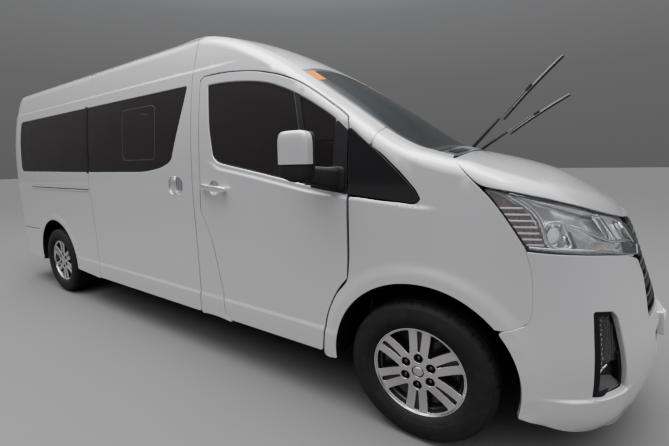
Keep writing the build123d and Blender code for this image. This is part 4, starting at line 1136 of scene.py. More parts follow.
    # bright lower strip and the top brow
    p = nose([(a, z) for a, z in ((0.236, 1001), (0.325, 995), (0.418, 990), (0.531, 979), (0.66, 960), (0.80, 936), (0.93, 915))], s)
    p = curve_through(p, 40)
    n = normals(p)
    v, f = swept(p - n * 20.0, n, rounded(12, 30, 4, 3))
    pile.add(v, f)
    p = nose([(a, z) for a, z in ((0.15, 1206), (0.28, 1178), (0.42, 1147), (0.56, 1118), (0.72, 1090), (0.86, 1060))], s)
    p = curve_through(p, 40)
    n = normals(p)
    v, f = swept(p - n * 24.0, n, rounded(14, 34, 5, 3))
    pile.add(v, f)
    # bezel of the projector and wings of the main reflector
    loop = nose([(0.300, 1100), (0.366, 1101), (0.385, 1057), (0.408, 1004), (0.372, 994), (0.330, 1003), (0.304, 1030), (0.290, 1066)], s)
    loop = divide(ease(Nose().inv(loop), 18.0), 12.0)
    p, n = shell_path(Nose(), loop)
    v, f = swept(p - n * 20.0, n, rounded(8, 28, 3, 3), closed=True)
    pile.add(v, f)
    p = nose([(a, z) for a, z in ((0.395, 1085), (0.46, 1066), (0.55, 1036), (0.64, 1010), (0.72, 999), (0.88, 985))], s)
    p = curve_through(p, 40)
    n = normals(p)
    v, f = swept(p - n * 22.0, n, rounded(13, 30, 4, 3))
    pile.add(v, f)
    p = nose([(a, z) for a, z in ((0.585, 1102), (0.635, 1062), (0.685, 1022), (0.715, 1000))], s)
    p = curve_through(p, 20)
    n = normals(p)
    v, f = swept(p - n * 20.0, n, rounded(7, 26, 3, 3))
    pile.add(v, f)
    p = nose([(a, z) for a, z in ((0.81, 1078), (0.885, 1030), (0.96, 985), (1.0, 965))], s)
    p = curve_through(p, 20)
    n = normals(p)
    v, f = swept(p - n * 16.0, n, rounded(9, 26, 3, 3))
    pile.add(v, f)
    ob = pile.make("lamp_bezels_" + name, [CHROME])
    put(ob, "root", slot="bright_trim")
    pile = Pile()
    p = nose([(a, z) for a, z in ((0.392, 1062), (0.405, 1034), (0.425, 1000))], s)
    n = normals(p)
    v, f = swept(p - n * 17.0, n, rounded(13, 20, 3, 3))
    pile.add(v, f)
    p = nose([(a, z) for a, z in ((0.60, 1100), (0.648, 1062), (0.698, 1022), (0.727, 1001))], s)
    p = curve_through(p, 14)
    n = normals(p)
    v, f = swept(p - n * 16.0, n, rounded(6, 18, 2, 3))
    pile.add(v, f)
    p = nose([(a, z) for a, z in ((0.74, 1000), (0.85, 988), (0.95, 972))], s)
    p = curve_through(p, 14)
    n = normals(p)
    v, f = swept(p - n * 15.0, n, rounded(7, 18, 2, 3))
    pile.add(v, f)
    ob = pile.make("lamp_dark_" + name, [DULL])
    put(ob, "root", slot="black_plastic")
    # projector lens and its tube
    c = nose([(0.343, 1050)], s)
    w = normals(c)[0]
    fwd = np.array([0.78, -s * -0.62, 0.0]) if s > 0 else np.array([0.78, -0.62, 0.0])
    fwd /= np.linalg.norm(fwd)
    upv = np.array([0, 0, 1.0])
    acr = np.cross(upv, fwd)
    pile = Pile()
    v, f = [], []
    nseg = 36
    prof = [(40, -34), (40, 2), (35, 4), (33, -2), (33, -34)]
    for i in range(nseg):
        a = 2 * math.pi * i / nseg
        for r, h in prof:
            v.append(acr * r * math.cos(a) + upv * r * math.sin(a) + fwd * h)
    k = len(prof)
    for i in range(nseg):
        j = (i + 1) % nseg
        for q in range(k):
            f.append([i * k + q, i * k + (q + 1) % k, j * k + (q + 1) % k, j * k + q])
    pile.add(np.array(v) + c[0] - w * 32, f, 0)
    v, f = pod((-33, -33, -14), (33, 33, 14), 2.0, 32, 16)
    rot = np.stack([acr, upv, fwd], 0)
    pile.add(v @ rot + c[0] - w * 34, f, 1)
    ob = pile.make("lamp_projector_" + name, [CHROME, WHITELENS])
    put(ob, "root", slot="lamp_glass")
    # inner lamp next to the grille and a small amber block
    ob = panel("lamp_inner_" + name, Nose(), nose([(0.60, 1098), (0.79, 1074), (0.87, 1030), (0.955, 985), (0.74, 1004), (0.69, 1040)], s), off=-30.0, depth=4.0,
               roll=2.0, step=20.0, mats=[WHITELENS], corner=8.0)
    put(ob, "root", slot="lamp_glass")
    q = nose([(0.612, 978)], s)
    w = normals(q)
    v, f = pod((-5, -5, -8), (5, 5, 8), 4.0, 16, 10)
    pile = Pile().add(v + q[0] - w[0] * 24, f)
    ob = pile.make("lamp_amber_" + name, [AMBER])
    put(ob, "root", slot="lamp_red")

# grille: dark back and horizontal bars
gl = [(0.874, 1070), (0.95, 1048), (1.03, 1008), (1.10, 952), (1.06, 905), (1.005, 885), (1.035, 826), (1.012, 776), (0.988, 730), (0.970, 684), (0.975, 652), (1.03, 645),
      (1.2, 641), (1.4, 639)]
gr = nose(gl)
glft = nose(gl, 1)
topc = nose([(1.40, 1037), (1.15, 1045), (0.97, 1062)])
toplf = nose([(1.40, 1037), (1.15, 1045), (0.97, 1062)], 1)
outline = np.concatenate([gr, nose([(math.pi / 2, 639)]), glft[::-1], toplf[::-1], nose([(math.pi / 2, 1035)]), topc])
ob = panel("grille_back", Nose(), outline, off=-46.0, depth=4.0, roll=1.0, step=50.0, mats=[GRAIN], corner=8.0)
put(ob, "root", "grille", slot="black_plastic")
pile = Pile()
for k, z in enumerate(range(664, 1030, 33)):
    a0 = float(np.interp(z, [640, 684, 730, 776, 826, 880, 905, 952, 1008, 1048], [0.985, 0.975, 0.992, 1.016, 1.040, 1.012, 1.064, 1.104, 1.034, 0.96])) + 0.004
    al = np.linspace(a0, math.pi - a0, 48)
    p = surf(Nose(), np.stack([Nose.X + 800 * al, np.full(48, float(z))], 1))
    n = normals(p)
    v, f = swept(p - n * 17.0, n, rounded(13 if k % 2 else 9, 28, 3.5, 3))
    pile.add(v, f, k % 2)
ob = pile.make("grille_bars", [GLOSS, GRAIN])
put(ob, "root", slot="gloss_black")
ob = panel("lower_mesh_back", Nose(), np.concatenate([nose([(0.99, 592.0), (math.pi / 2, 596.0)]), nose([(0.99, 592.0)], 1), nose([(1.04, 414.0)], 1), nose([(math.pi / 2, 408.0), (1.04, 414.0)])]),
           off=-34.0, depth=3.0, roll=1.0, step=50.0, mats=[GRAIN], corner=4.0)
put(ob, "root", slot="black_plastic")
pile = Pile()
for z in (448, 478, 508, 538, 568):
    al = np.linspace(1.06, math.pi - 1.06, 36)
    p = surf(Nose(), np.stack([Nose.X + 800 * al, np.full(36, float(z))], 1))
    n = normals(p)
    v, f = swept(p - n * 20.0, n, rounded(7, 16, 2.5, 3))
    pile.add(v, f)
ob = pile.make("lower_bars", [GRAIN])
put(ob, "root", slot="black_plastic")
# blank front plate on its holder
q = nose([(math.pi / 2, 505)])[0]
ob = panel("bumper_pad", Nose(), np.concatenate([nose([(1.30, 594.0), (math.pi / 2, 596.0)]), nose([(1.30, 594.0)], 1), nose([(1.31, 484.0)], 1),
                                                nose([(math.pi / 2, 482.0), (1.31, 484.0)])]), off=lambda p: np.clip(2945.0 - p[:, 0], -14.0, 14.0), depth=26.0, roll=3.5, step=30.0, corner=6.0)
put(ob, "root", slot="body_paint")
pile = Pile()
v, f = brick((2938.0, -165, 490), (2949.0, 165, 588), 1.5)
pile.add(v, f, 0)
ob = pile.make("front_plate", [PLATE])
put(ob, "root", slot="bright_trim")

# rear bumper, tailgate and lamps
T0, T1 = 0.0, 800 * math.pi
side_r = [(-2345.0, 312.0), (-2345.0, 646.0)]
r0, l0 = on_side(side_r, -1), on_side(side_r, 1)
topb = surf(Stern(), [(t, 646.0) for t in np.linspace(120, T1 - 120, 16)])
botb = surf(Stern(), [(t, 312.0) for t in np.linspace(120, T1 - 120, 16)])
outline = np.concatenate([r0, topb, l0[::-1], botb[::-1]])


def step_pad(p):
    return -7.0 * st((150 - np.abs(p[:, 2] - 470)) / 12) * st((560 - np.abs(p[:, 1])) / 14) * (p[:, 0] < -2700)


grid = [(800 * math.pi / 2 + y, z) for z in (316, 320, 326, 332, 608, 614, 620, 626) for y in range(-600, 601, 40)]
ob = panel("rear_bumper_skin", Stern(), outline, depth=30.0, off=step_pad, step=40.0, corner=14.0, roll=8.0, rough_grid=np.array(grid, float))
put(ob, "root", "rear_bumper", slot="body_paint")
gate = [(-784.0, 676.0), (784.0, 676.0), (784.0, 2141.0), (-784.0, 2141.0)]
GATE_GLASS = [(-690.0, 1345.0), (690.0, 1345.0), (690.0, 1905.0), (-690.0, 1905.0)]
PLATE_HOLE = [(-250.0, 900.0), (250.0, 900.0), (225.0, 1100.0), (-225.0, 1100.0)]
ob = panel("tailgate_skin", Back(), on_back(grow(gate, -2.0)), [on_back(grow(GATE_GLASS, 1.0)), on_back(PLATE_HOLE)], depth=38.0, hole_roll=6.0, corner=20.0,
           hole_corner=30.0)
put(ob, "tailgate", "tailgate", slot="body_paint")
ob = panel("gate_recess", Back(), on_back(grow(PLATE_HOLE, 4.0)), off=-24.0, depth=3.0, roll=1.0, mats=[PAINT], corner=20.0)
put(ob, "tailgate", slot="body_paint")
q = on_back([(0.0, 985.0)])[0]
pile = Pile()
v, f = brick((q[0] + 14, -195, 915), (q[0] + 20, 195, 1055), 3)
pile.add(v, f)
ob = pile.make("rear_plate", [PLATE])
put(ob, "tailgate", slot="bright_trim")
p = on_back([(y, 1112.0 + 4 * math.cos(y / 300)) for y in np.linspace(-300, 300, 25)])
n = normals(p)
v, f = swept(p + n * 8, n, rounded(34, 22, 9, 5))
pile = Pile().add(v, f)
for y in (-150, 150):
    v, f = brick((q[0] - 20, y - 22, 1088), (q[0] + 12, y + 22, 1096), 3)
    pile.add(v, f, 1)
ob = pile.make("gate_garnish", [CHROME, WHITELENS])
put(ob, "tailgate", slot="bright_trim")
ob = panel("tailgate_pane", Back(), on_back(grow(GATE_GLASS, -0.5)), off=-3.0, depth=4.5, roll=0.8, mats=[GLASS], corner=34.0)
put(ob, "tailgate", "tailgate_glass", slot="privacy_glass")
ob = panel("tailgate_band", Back(), on_back(grow(GATE_GLASS, 0.6)), [on_back(grow(GATE_GLASS, -26.0))], off=-2.2, depth=1.6, roll=1.0,
           mats=[GLOSS], corner=34.0, hole_corner=26.0)
put(ob, "tailgate", slot="gloss_black")
# rear wiper and the high brake lamp
p = on_back([(y, 1395.0 + 0.10 * y) for y in np.linspace(-40, 330, 12)])
n = normals(p)
v, f = swept(p + n * 16, n, rounded(12, 8, 3, 3), scale=np.linspace(1.3, 0.7, 12))
pile = Pile().add(v, f)
p = on_back([(y, 1405.0 + 0.10 * y) for y in np.linspace(90, 480, 14)])
n = normals(p)
v, f = swept(p + n * 7, n, rounded(9, 12, 3, 3))
pile.add(v, f)
q = on_back([(-40.0, 1391.0)])[0]
v, f = pod((-16, -24, -24), (10, 24, 24), 2.6, 24, 14)
pile.add(v + q, f)
ob = pile.make("rear_wiper", [GRAIN])
put(ob, "tailgate", slot="black_plastic")
ob = panel("high_lamp", Back(), on_back([(-150, 2000), (150, 2000), (140, 2030), (-140, 2030)]), off=3.0, depth=6.0, roll=2.0, step=24.0, mats=[REDLENS], corner=8.0)
put(ob, "tailgate", slot="lamp_red")
for s, name in SIDES:
    def tail(z0, z1, inset, s=s):
        zs = np.linspace(z0, z1, 9)
        a = on_back([(s * (803.0 + inset), z) for z in zs])
        b = on_side([(-2836.0 + (0 if inset else 0), z) for z in zs[::-1]], s)
        return np.concatenate([a, b])
    parts_ = (("tail_red_", 1030, 1327, REDLENS, "lamp_red"), ("tail_amber_", 880, 1026, AMBER, "lamp_red"), ("tail_white_", 720, 876, WHITELENS, "lamp_glass"))
    for tag, z0, z1, m_, sl in parts_:
        ob = panel(tag + name, Stern(), tail(z0, z1, 0), off=2.0, depth=22.0, roll=3.0, step=24.0, mats=[m_], corner=6.0)
        put(ob, "root", "tail_lamps", slot=sl)
    pile = Pile()
    for z in np.arange(1060, 1320, 26):
        p = surf(Stern(), [(t if s < 0 else T1 - t, z) for t in np.linspace(262, 402, 14)])
        keep_ = (np.abs(p[:, 1]) > 812) & (p[:, 0] < -2846)
        p = p[keep_]
        if len(p) > 3:
            n = normals(p)
            v, f = swept(p + n * 2.5, n, rounded(4, 3, 1.2, 2))
            pile.add(v, f)
    ob = pile.make("tail_ribs_" + name, [REDLENS])
    put(ob, "root", slot="lamp_red")
    # reflector in the bumper's corner
    ob = panel("rear_reflector_" + name, Stern(), surf(Stern(), [(t if s < 0 else T1 - t, z) for t, z in ((430, 530), (492, 530), (492, 584), (430, 584))]), off=2.0, depth=5.0,
               roll=1.5, step=20.0, mats=[REDLENS], corner=6.0)
    put(ob, "root", slot="lamp_red")
# filler flap on the left
ob = panel("filler_flap", Side(1), on_side([(-1270, 905), (-1090, 905), (-1090, 1085), (-1270, 1085)], 1), off=1.0, depth=2.6, roll=1.6, step=24.0, corner=26.0)
put(ob, "root", slot="body_paint")

# ------------------------------------------------------------------ mirrors, folded back
for s, name in SIDES:
    def side_y(lo, hi, s=s):
        y0, y1 = sorted((s * lo[1], s * hi[1]))
        return (lo[0], y0, lo[2]), (hi[0], y1, hi[2])

    def flat_below(v):
        v = v.copy()
        v[:, 2] = np.maximum(v[:, 2], 1331.0)
        return v

    def low_cut(v):
        v = v.copy()
        floor_ = 1247.0 + np.clip((1440.0 - v[:, 0]) / 95.0, 0, 1) ** 1.5 * 32.0
        v[:, 2] = np.clip(v[:, 2], floor_, 1327.0)
        return v

    lo, hi = side_y((1340, 1074, 1246), (1508, 1152, 1484))
    v, f = pod(lo, hi, 5.6, 72, 56, flat_below)
    g = solid("mirror_cap_" + name, v, f, [PAINT], sharp=50)
    put(g, "front_door_" + name, "mirror_" + name, slot="body_paint")
    lo, hi = side_y((1343, 1076, 1242), (1505, 1150, 1470))
    v, f = pod(lo, hi, 5.6, 72, 56, low_cut)
    pile = Pile().add(v, f)
    lo, hi = side_y((1342, 1064, 1250), (1507, 1082, 1481))
    v, f = pod(lo, hi, 9.0, 56, 30)
    pile.add(v, f)
    # arm to the black corner piece
    path = curve_through([(1552, s * 944, 1258), (1540, s * 975, 1260), (1508, s * 1030, 1270), (1470, s * 1078, 1281), (1446, s * 1106, 1288)], 16)
    tall = np.linspace(1.0, 0.74, 16)
    v, f = swept(path, np.tile([0, 0, 1.0], (16, 1)), rounded(64, 104, 20, 5), scale=tall)
    pile.add(v, f)
    v, f = pod((1500, min(s * 930, s * 972), 1198), (1606, max(s * 930, s * 972), 1318), 5.0, 36, 22)
    pile.add(v, f)
    v, f = pod((1424, min(s * 1050, s * 1090), 1238), (1462, max(s * 1050, s * 1090), 1252), 3.0, 24, 12)
    pile.add(v, f)
    g = pile.make("mirror_body_" + name, [GRAIN], 45)
    put(g, "front_door_" + name, slot="black_plastic")
    v, f = brick((1362, min(s * 1059, s * 1066), 1262), (1488, max(s * 1059, s * 1066), 1460), 2.5)
    g = Pile().add(v, f).make("mirror_glass_" + name, [CHROME])
    put(g, "front_door_" + name, slot="bright_trim")
    # thin bright line along the top of the arm: a painted highlight in satin metal
    v, f = swept(path[2:13] + np.stack([np.zeros(11), np.zeros(11), 52.5 * tall[2:13]], 1), np.tile([0, 0, 1.0], (11, 1)), rounded(30, 2.4, 1, 2))
    g = solid("mirror_arm_highlight_" + name, v, f, [SATIN])
    put(g, "front_door_" + name, slot="bright_trim")

# ------------------------------------------------------------------ wipers, raised
WIPERS = [(1998.0, 20.0, 1404.0, 2422.0, 0.0, 1902.0), (1998.0, 330.0, 1398.0, 2484.0, 290.0, 1738.0)]
for k, (x0, y0, z0, x1, y1, z1) in enumerate(WIPERS):
    a, b = np.array([x0, y0, z0]), np.array([x1, y1, z1])
    d_ = (b - a) / np.linalg.norm(b - a)
    up_ = np.cross(d_, [0, 1.0, 0])
    up_ /= np.linalg.norm(up_)
    L = float(np.linalg.norm(b - a))
    pile = Pile()
    v, f = pod((-20, -20, -14), (20, 20, 20), 3.0, 24, 14)
    pile.add(v + a, f)
    # arm: a tapered head, then a slim bar up to the blade's middle
    t = np.linspace(0, 0.36, 12)
    v, f = swept(a + d_ * (t * L)[:, None], np.tile(up_, (12, 1)), rounded(26, 17, 5, 4), scale=np.concatenate([np.linspace(1.15, 1.0, 7), np.linspace(0.95, 0.62, 5)]))
    pile.add(v, f)
    t = np.linspace(0.34, 0.70, 9)
    v, f = swept(a + d_ * (t * L)[:, None], np.tile(up_, (9, 1)), rounded(12, 7, 2.5, 3), scale=np.linspace(1.0, 0.85, 9))
    pile.add(v, f, 1)
    v, f = swept(a + d_ * (np.linspace(0.655, 0.715, 4) * L)[:, None] + up_ * -3, np.tile(up_, (4, 1)), rounded(19, 19, 4, 3))
    pile.add(v, f)
    # blade: a low spoiler-shaped spine and its rubber, square to the arm's hinge
    t = np.linspace(0.37, 1.0, 19)
    bow = 7 * (1 - ((t - 0.685) / 0.315) ** 2)
    q = a + d_ * (t * L)[:, None] + up_[None] * (-9 - 7 + bow)[:, None]
    size_ = np.concatenate([np.linspace(0.55, 1, 4), np.ones(11), np.linspace(1, 0.55, 4)])
    v, f = swept(q, np.tile(up_, (19, 1)), [(-10, -4), (10, -4), (8, 1), (2.5, 5), (-2.5, 5), (-8, 1)], scale=size_)
    pile.add(v, f, 1)
    v, f = swept(q - up_ * 9, np.tile(up_, (19, 1)), rounded(3.5, 11, 1, 2))
    pile.add(v, f, 2)
    ob = pile.make("wiper_%d" % k, [GRAIN, DULL, RUBBER])
    put(ob, "root", "wipers", slot="black_plastic")


# ------------------------------------------------------------------ wheels
class Disc:
    """the outer face of a wheel: forward, up; its height outwards follows the radius"""

    def __init__(self, x, s):
        self.x, self.s = x, s
        self.h = Curve1([0, 40, 70, 96, 120, 155, 192, 208, 230], [86, 86, 86, 84, 81, 79, 81, 85, 89])

    def surf(self, ab):
        return stack(self.x + ab[:, 0], self.s * (Y_WHEEL + self.h(np.hypot(ab[:, 0], ab[:, 1]))), Z_WHEEL + ab[:, 1])

    def normals(self, ab):
        r = np.maximum(np.hypot(ab[:, 0], ab[:, 1]), 1e-6)
        k = (self.h(r + 1) - self.h(r - 1)) / 2
        n = stack(-k * ab[:, 0] / r, self.s, -k * ab[:, 1] / r)
        return n / np.linalg.norm(n, axis=1)[:, None]

    def inv(self, p):
        return stack(p[:, 0] - self.x, p[:, 2] - Z_WHEEL)


def polar(r, a):
    return (r * math.cos(math.radians(a)), r * math.sin(math.radians(a)))


def wheel_face(x, s, name):
    dom = Disc(x, s)
    ring_ = np.array([polar(211.5, a) for a in np.arange(0, 360, 3.0)])
    holes = []
    for k in range(6):
        # pocket between two pairs of spokes: a wedge with its point near the hub
        c = math.radians(60 + 60 * k)
        near = [(91, 5.5), (104, 11.5), (140, 28.0), (176, 45.5), (196, 54.5)]
        ends = [(206 * math.cos(math.radians(t)), 206 * math.sin(math.radians(t))) for t in (13.2, 9.0, 4.5, 0.0, -4.5, -9.0, -13.2)]
        pts = near + ends + [(u, -w) for u, w in near[::-1]]
        holes.append(np.array([(u * math.cos(c) - w * math.sin(c), u * math.sin(c) + w * math.cos(c)) for u, w in pts]))
        # groove that splits a pair
        c = math.radians(90 + 60 * k)
        near = [(97, 6.0), (140, 9.6), (192, 13.6)]
        pts = near + [(203, 11.5), (205.5, 0.0), (203, -11.5)] + [(u, -w) for u, w in near[::-1]] + [(97, 0.0)]
        holes.append(np.array([(u * math.cos(c) - w * math.sin(c), u * math.sin(c) + w * math.cos(c)) for u, w in pts]))
    for k in range(6):
        c = polar(68, 90 + 60 * k)
        holes.append(np.array([(c[0] + 23.6 * math.cos(t), c[1] + 23.6 * math.sin(t)) for t in np.linspace(0, 2 * math.pi, 28, endpoint=False)]))
    holes.append(np.array([(30.0 * math.cos(t), 30.0 * math.sin(t)) for t in np.linspace(0, 2 * math.pi, 36, endpoint=False)]))
    ob = panel("wheel_face_" + name, dom, dom.surf(ring_), [dom.surf(h) for h in holes], seg=8.0, step=24.0, roll=1.2, depth=22.0, mats=[MACHINED, POCKET_PAINT_AND_SHADE],
               corner=0, hole_corner=6.0, hole_roll=1.8, flange_mat=1, hole_mat=1)
    body = "wheel_" + name
    put(ob, body, "rim_" + name, slot="alloy")
    pile = Pile()
    # bright lip, dark barrel, a dark backing that closes the pockets as painted shade, floors of the grooves and hub
    rows = [(84, 210), (91, 211.5), (93.5, 214), (93.5, 218), (90, 220.5), (84, 219.5)]
    v, f = lathed(x, s, rows, 120)
    pile.add(v, f, 0)
    rows = [(84, 211), (84, 219), (82, 204), (40, 188), (-70, 200), (-82, 205), (-84, 219), (-92, 219), (-93, 212), (-80, 198), (-60, 192), (36, 180), (58, 190), (66, 201)]
    v, f = lathed(x, s, rows, 120)
    pile.add(v, f, 1)
    # the backing disc fills the pockets with dark glossy colour: painted shade of the wheel's inside
    rows = [(50, 209), (40, 196), (30, 150), (34, 92), (34, 40), (24, 40), (24, 70), (20, 92), (20, 150), (30, 190), (42, 207)]
    v, f = lathed(x, s, rows, 72)
    pile.add(v, f, 1)
    for k in range(6):
        c = math.radians(90 + 60 * k)
        v, f = brick((92, -16, 60), (206, 16, 73), 2.0)
        w = np.stack([x + v[:, 0] * math.cos(c) - v[:, 1] * math.sin(c), s * (Y_WHEEL + v[:, 2]), Z_WHEEL + v[:, 0] * math.sin(c) + v[:, 1] * math.cos(c)], 1)
        pile.add(w, f, 4)
    rows = [(88.0, 0.5), (88.4, 14), (87.2, 20.5), (84.0, 24.5), (60, 24.5), (60, 0.5)]
    v, f = lathed(x, s, rows, 48)
    pile.add(v, f, 5)
    rows = [(58, 20), (58, 96), (40, 96), (40, 20)]
    v, f = lathed(x, s, rows, 48)
    pile.add(v, f, 1)
    for k in range(6):
        c = polar(68, 90 + 60 * k)
        v, f = [], []
        for h, r in ((54, 11.0), (76, 11.0), (79, 9.0)):
            for j in range(6):
                a = math.radians(60 * j + 12)
                v.append((x + c[0] + r * math.cos(a), s * (Y_WHEEL + h), Z_WHEEL + c[1] + r * math.sin(a)))
        for q in range(2):
            for j in range(6):
                j2 = (j + 1) % 6
                f.append([q * 6 + j, q * 6 + j2, q * 6 + 6 + j2, q * 6 + 6 + j])
        f.append([5, 4, 3, 2, 1, 0])
        f.append([12, 13, 14, 15, 16, 17])
        pile.add(np.array(v), f, 6)
        v, f = pod((-9, -5, -9), (9, 5, 9), 2.2, 20, 12)
        pile.add(v + [x + c[0], s * (Y_WHEEL + 78), Z_WHEEL + c[1]], f, 6)
    # valve
    c = polar(190, 66)
    v, f = swept([(x + c[0], s * (Y_WHEEL + 46), Z_WHEEL + c[1]), (x + c[0] * 0.97, s * (Y_WHEEL + 76), Z_WHEEL + c[1] * 0.97)], (0, 0, 1.0), circle(4.0, 10))
    pile.add(v, f, 3)
    # brake disc and its hat
    v, f = lathed(x, s, [(-14, 62), (-14, 150), (-20, 150.5), (-20, 146), (-30, 146), (-30, 150.5), (-36, 150), (-36, 60), (-20, 56), (30, 56), (34, 62)], 72)
    pile.add(v, f, 2)
    ob = pile.make("wheel_barrel_" + name, [SATIN, POCKET_PAINT_AND_SHADE, RAW, RUBBER, GROOVE, CAP, NUT], 28)
    put(ob, body, slot="alloy")

    # tyre: half section as width from the middle and radius, with grooves
    half = [(0, 346.4), (9, 346.4), (10.2, 339), (20.5, 339), (21.7, 346.2), (30, 346.0), (47, 345.6), (48.4, 338), (59, 338), (60.4, 345.0), (72, 343.6), (86, 340.8), (95, 336.4),
            (101.5, 330), (106.5, 321), (108, 319), (110.2, 318.6), (113.2, 305), (115.6, 290), (116.4, 276), (115.6, 262), (113.6, 252), (112.9, 250.4), (111.2, 250), (108.6, 240),
            (103, 229.5), (98, 224), (94, 221.2), (88.5, 220.6), (84, 214), (82, 204), (74, 203.6)]
    rows = [(w, r) for w, r in half] + [(w * 0.93 - 0, r) for w, r in ()]
    inner = [(70, 214), (92, 236), (102, 268), (98, 300), (86, 322), (40, 331), (0, 332)]
    section = [(w, r) for w, r in half] + inner
    full = section + [(-w, r) for w, r in section[::-1] if w != 0]
    kinds = []
    for w, r in full:
        kinds.append((abs(w) if r > 335 else 999.0, w))

    def lower(i, q, n=252):
        aw, w = kinds[q]
        if aw > 98 or full[q][1] < 334:
            return 0.0
        if 62 < aw <= 98:
            return 5.5 if (i + (2 if w > 0 else 5)) % 7 == 0 else 0.0
        if 28 < aw < 48:
            return 3.5 if (i + int(aw / 8) + (3 if w > 0 else 0)) % 7 == 3 else 0.0
        if aw < 10:
            return 2.5 if (i + 1) % 7 == 5 else 0.0
        return 0.0

    v, f = lathed(x, s, full, 252, lower=lower)
    g = solid("tyre_shape_" + name, v, f, [TREAD], sharp=40)
    put(g, body, "tyre_" + name, slot="tyre")


for s, name in SIDES:
    wheel_face(X_FRONT_AXLE, s, "front_" + name)
    wheel_face(X_REAR_AXLE, s, "rear_" + name)

# ------------------------------------------------------------------ black linings of the arches, down to the body's lower edge
for s, name in SIDES:
    pile = Pile()
    for xa, r0, r1, y0, y1, spans in ((X_FRONT_AXLE, 419.0, 423.0, 600.0, 934.0, ((-9.5, 2.2), (177.8, 188.2))), (X_FRONT_AXLE, 420.0, 424.0, 890.0, 938.0, ((1.0, 179.0),)),
                                      (X_REAR_AXLE, 434.5, 439.0, 640.0, 925.0, ((-8.0, 11.0), (169.0, 188.0))), (X_REAR_AXLE, 425.0, 429.0, 884.0, 940.0, ((-8.0, 188.0),))):
        for a0, a1 in spans:
            n = max(3, int((a1 - a0) / 4) + 1)
            al = np.radians(np.linspace(a0, a1, n))
            v, f = [], []
            for t in al:
                for r, y in ((r0, y0), (r1, y0), (r1, y1), (r0, y1)):
                    v.append((xa + r * math.cos(t), s * y, Z_ARCH + r * math.sin(t)))
            for i in range(n - 1):
                for q in range(4):
                    f.append([i * 4 + q, i * 4 + (q + 1) % 4, (i + 1) * 4 + (q + 1) % 4, (i + 1) * 4 + q])
            f.append([3, 2, 1, 0])
            f.append([(n - 1) * 4 + q for q in range(4)])
            pile.add(np.array(v), f)
    # splash shields on the engine's side
    v, f = brick((1560, min(s * 506, s * 512), 222), (2420, max(s * 506, s * 512), 640), 2.0, 1)
    pile.add(v, f)
    v, f = brick((-2310, min(s * 560, s * 566), 330), (-1465, max(s * 560, s * 566), 620), 2.0, 1)
    pile.add(v, f)
    ob = pile.make("arch_lining_" + name, [BLACK_AND_SHADE], 40)
    put(ob, "root", slot="black_plastic")

# ------------------------------------------------------------------ inside
DASH = [(1480, 1010), (1466, 1150), (1496, 1246), (1590, 1290), (1760, 1296), (1880, 1292), (1928, 1262), (1640, 905), (1560, 905)]
prof = ease(DASH, 60.0, 8)
ys = np.linspace(-796, 796, 41)
v, f = [], []
k = len(prof)
for y in ys:
    bulge = 14 * math.exp(-((y - 470) / 190.0) ** 2)
    for px_, pz_ in prof:
        lift = bulge if pz_ > 1200 and px_ < 1760 else 0.0
        v.append((px_, y, pz_ + lift))
for i in range(len(ys) - 1):
    for q in range(k):
        r = (q + 1) % k
        f.append([i * k + q, i * k + r, (i + 1) * k + r, (i + 1) * k + q])
f.append(list(range(k)))
f.append([(len(ys) - 1) * k + q for q in range(k)][::-1])
pile = Pile().add(np.array(v), f, 0)
# instrument hood, display, vents, glove box, column
v, f = pod((1430, 300, 1215), (1640, 640, 1348), 3.2, 40, 22)
pile.add(v, f, 0)
v, f = brick((1424, 330, 1226), (1436, 610, 1316), 8)
pile.add(v, f, 1)
v, f = brick((1444, -130, 1190), (1462, 110, 1326), 8)
pile.add(v, f, 0)
v, f = brick((1440, -118, 1202), (1445, 98, 1314), 3)
pile.add(v, f, 1)
for y0 in (-770, -320, 130, 660):
    v, f = brick((1470, y0, 1176), (1492, y0 + 110, 1240), 8)
    pile.add(v, f, 2)
    for j in range(4):
        v, f = brick((1464, y0 + 8, 1186 + 13 * j), (1482, y0 + 102, 1190 + 13 * j), 1)
        pile.add(v, f, 0)
v, f = brick((1462, -740, 1010), (1500, -340, 1150), 14)
pile.add(v, f, 0)
v, f = brick((1430, -110, 960), (1560, 90, 1180), 18)
pile.add(v, f, 2)
for j in range(3):
    v, f = swept([(1430, -70 + 50 * j, 1130), (1414, -70 + 50 * j, 1130)], (0, 0, 1.0), circle(17, 20))
    pile.add(v, f, 3)
a_, b_ = np.array([1366.8, 470.0, 1162.4]), np.array([1538.0, 470.0, 1034.0])
v, f = swept([a_, (a_ + b_) / 2, b_], (0, 0, 1.0), rounded(74, 84, 26, 5))
pile.add(v, f, 0)
for sg in (-1, 1):
    v, f = swept([(1384, 470 + sg * 30, 1166), (1356, 470 + sg * 160, 1186)], (0, 0, 1.0), circle(7, 12))
    pile.add(v, f, 0)
ob = pile.make("dashboard_shape", [SOFTPLASTIC, SCREENFACE, GLOSS, SATIN], 34)
put(ob, "root", "dashboard", slot="dash_plastic")

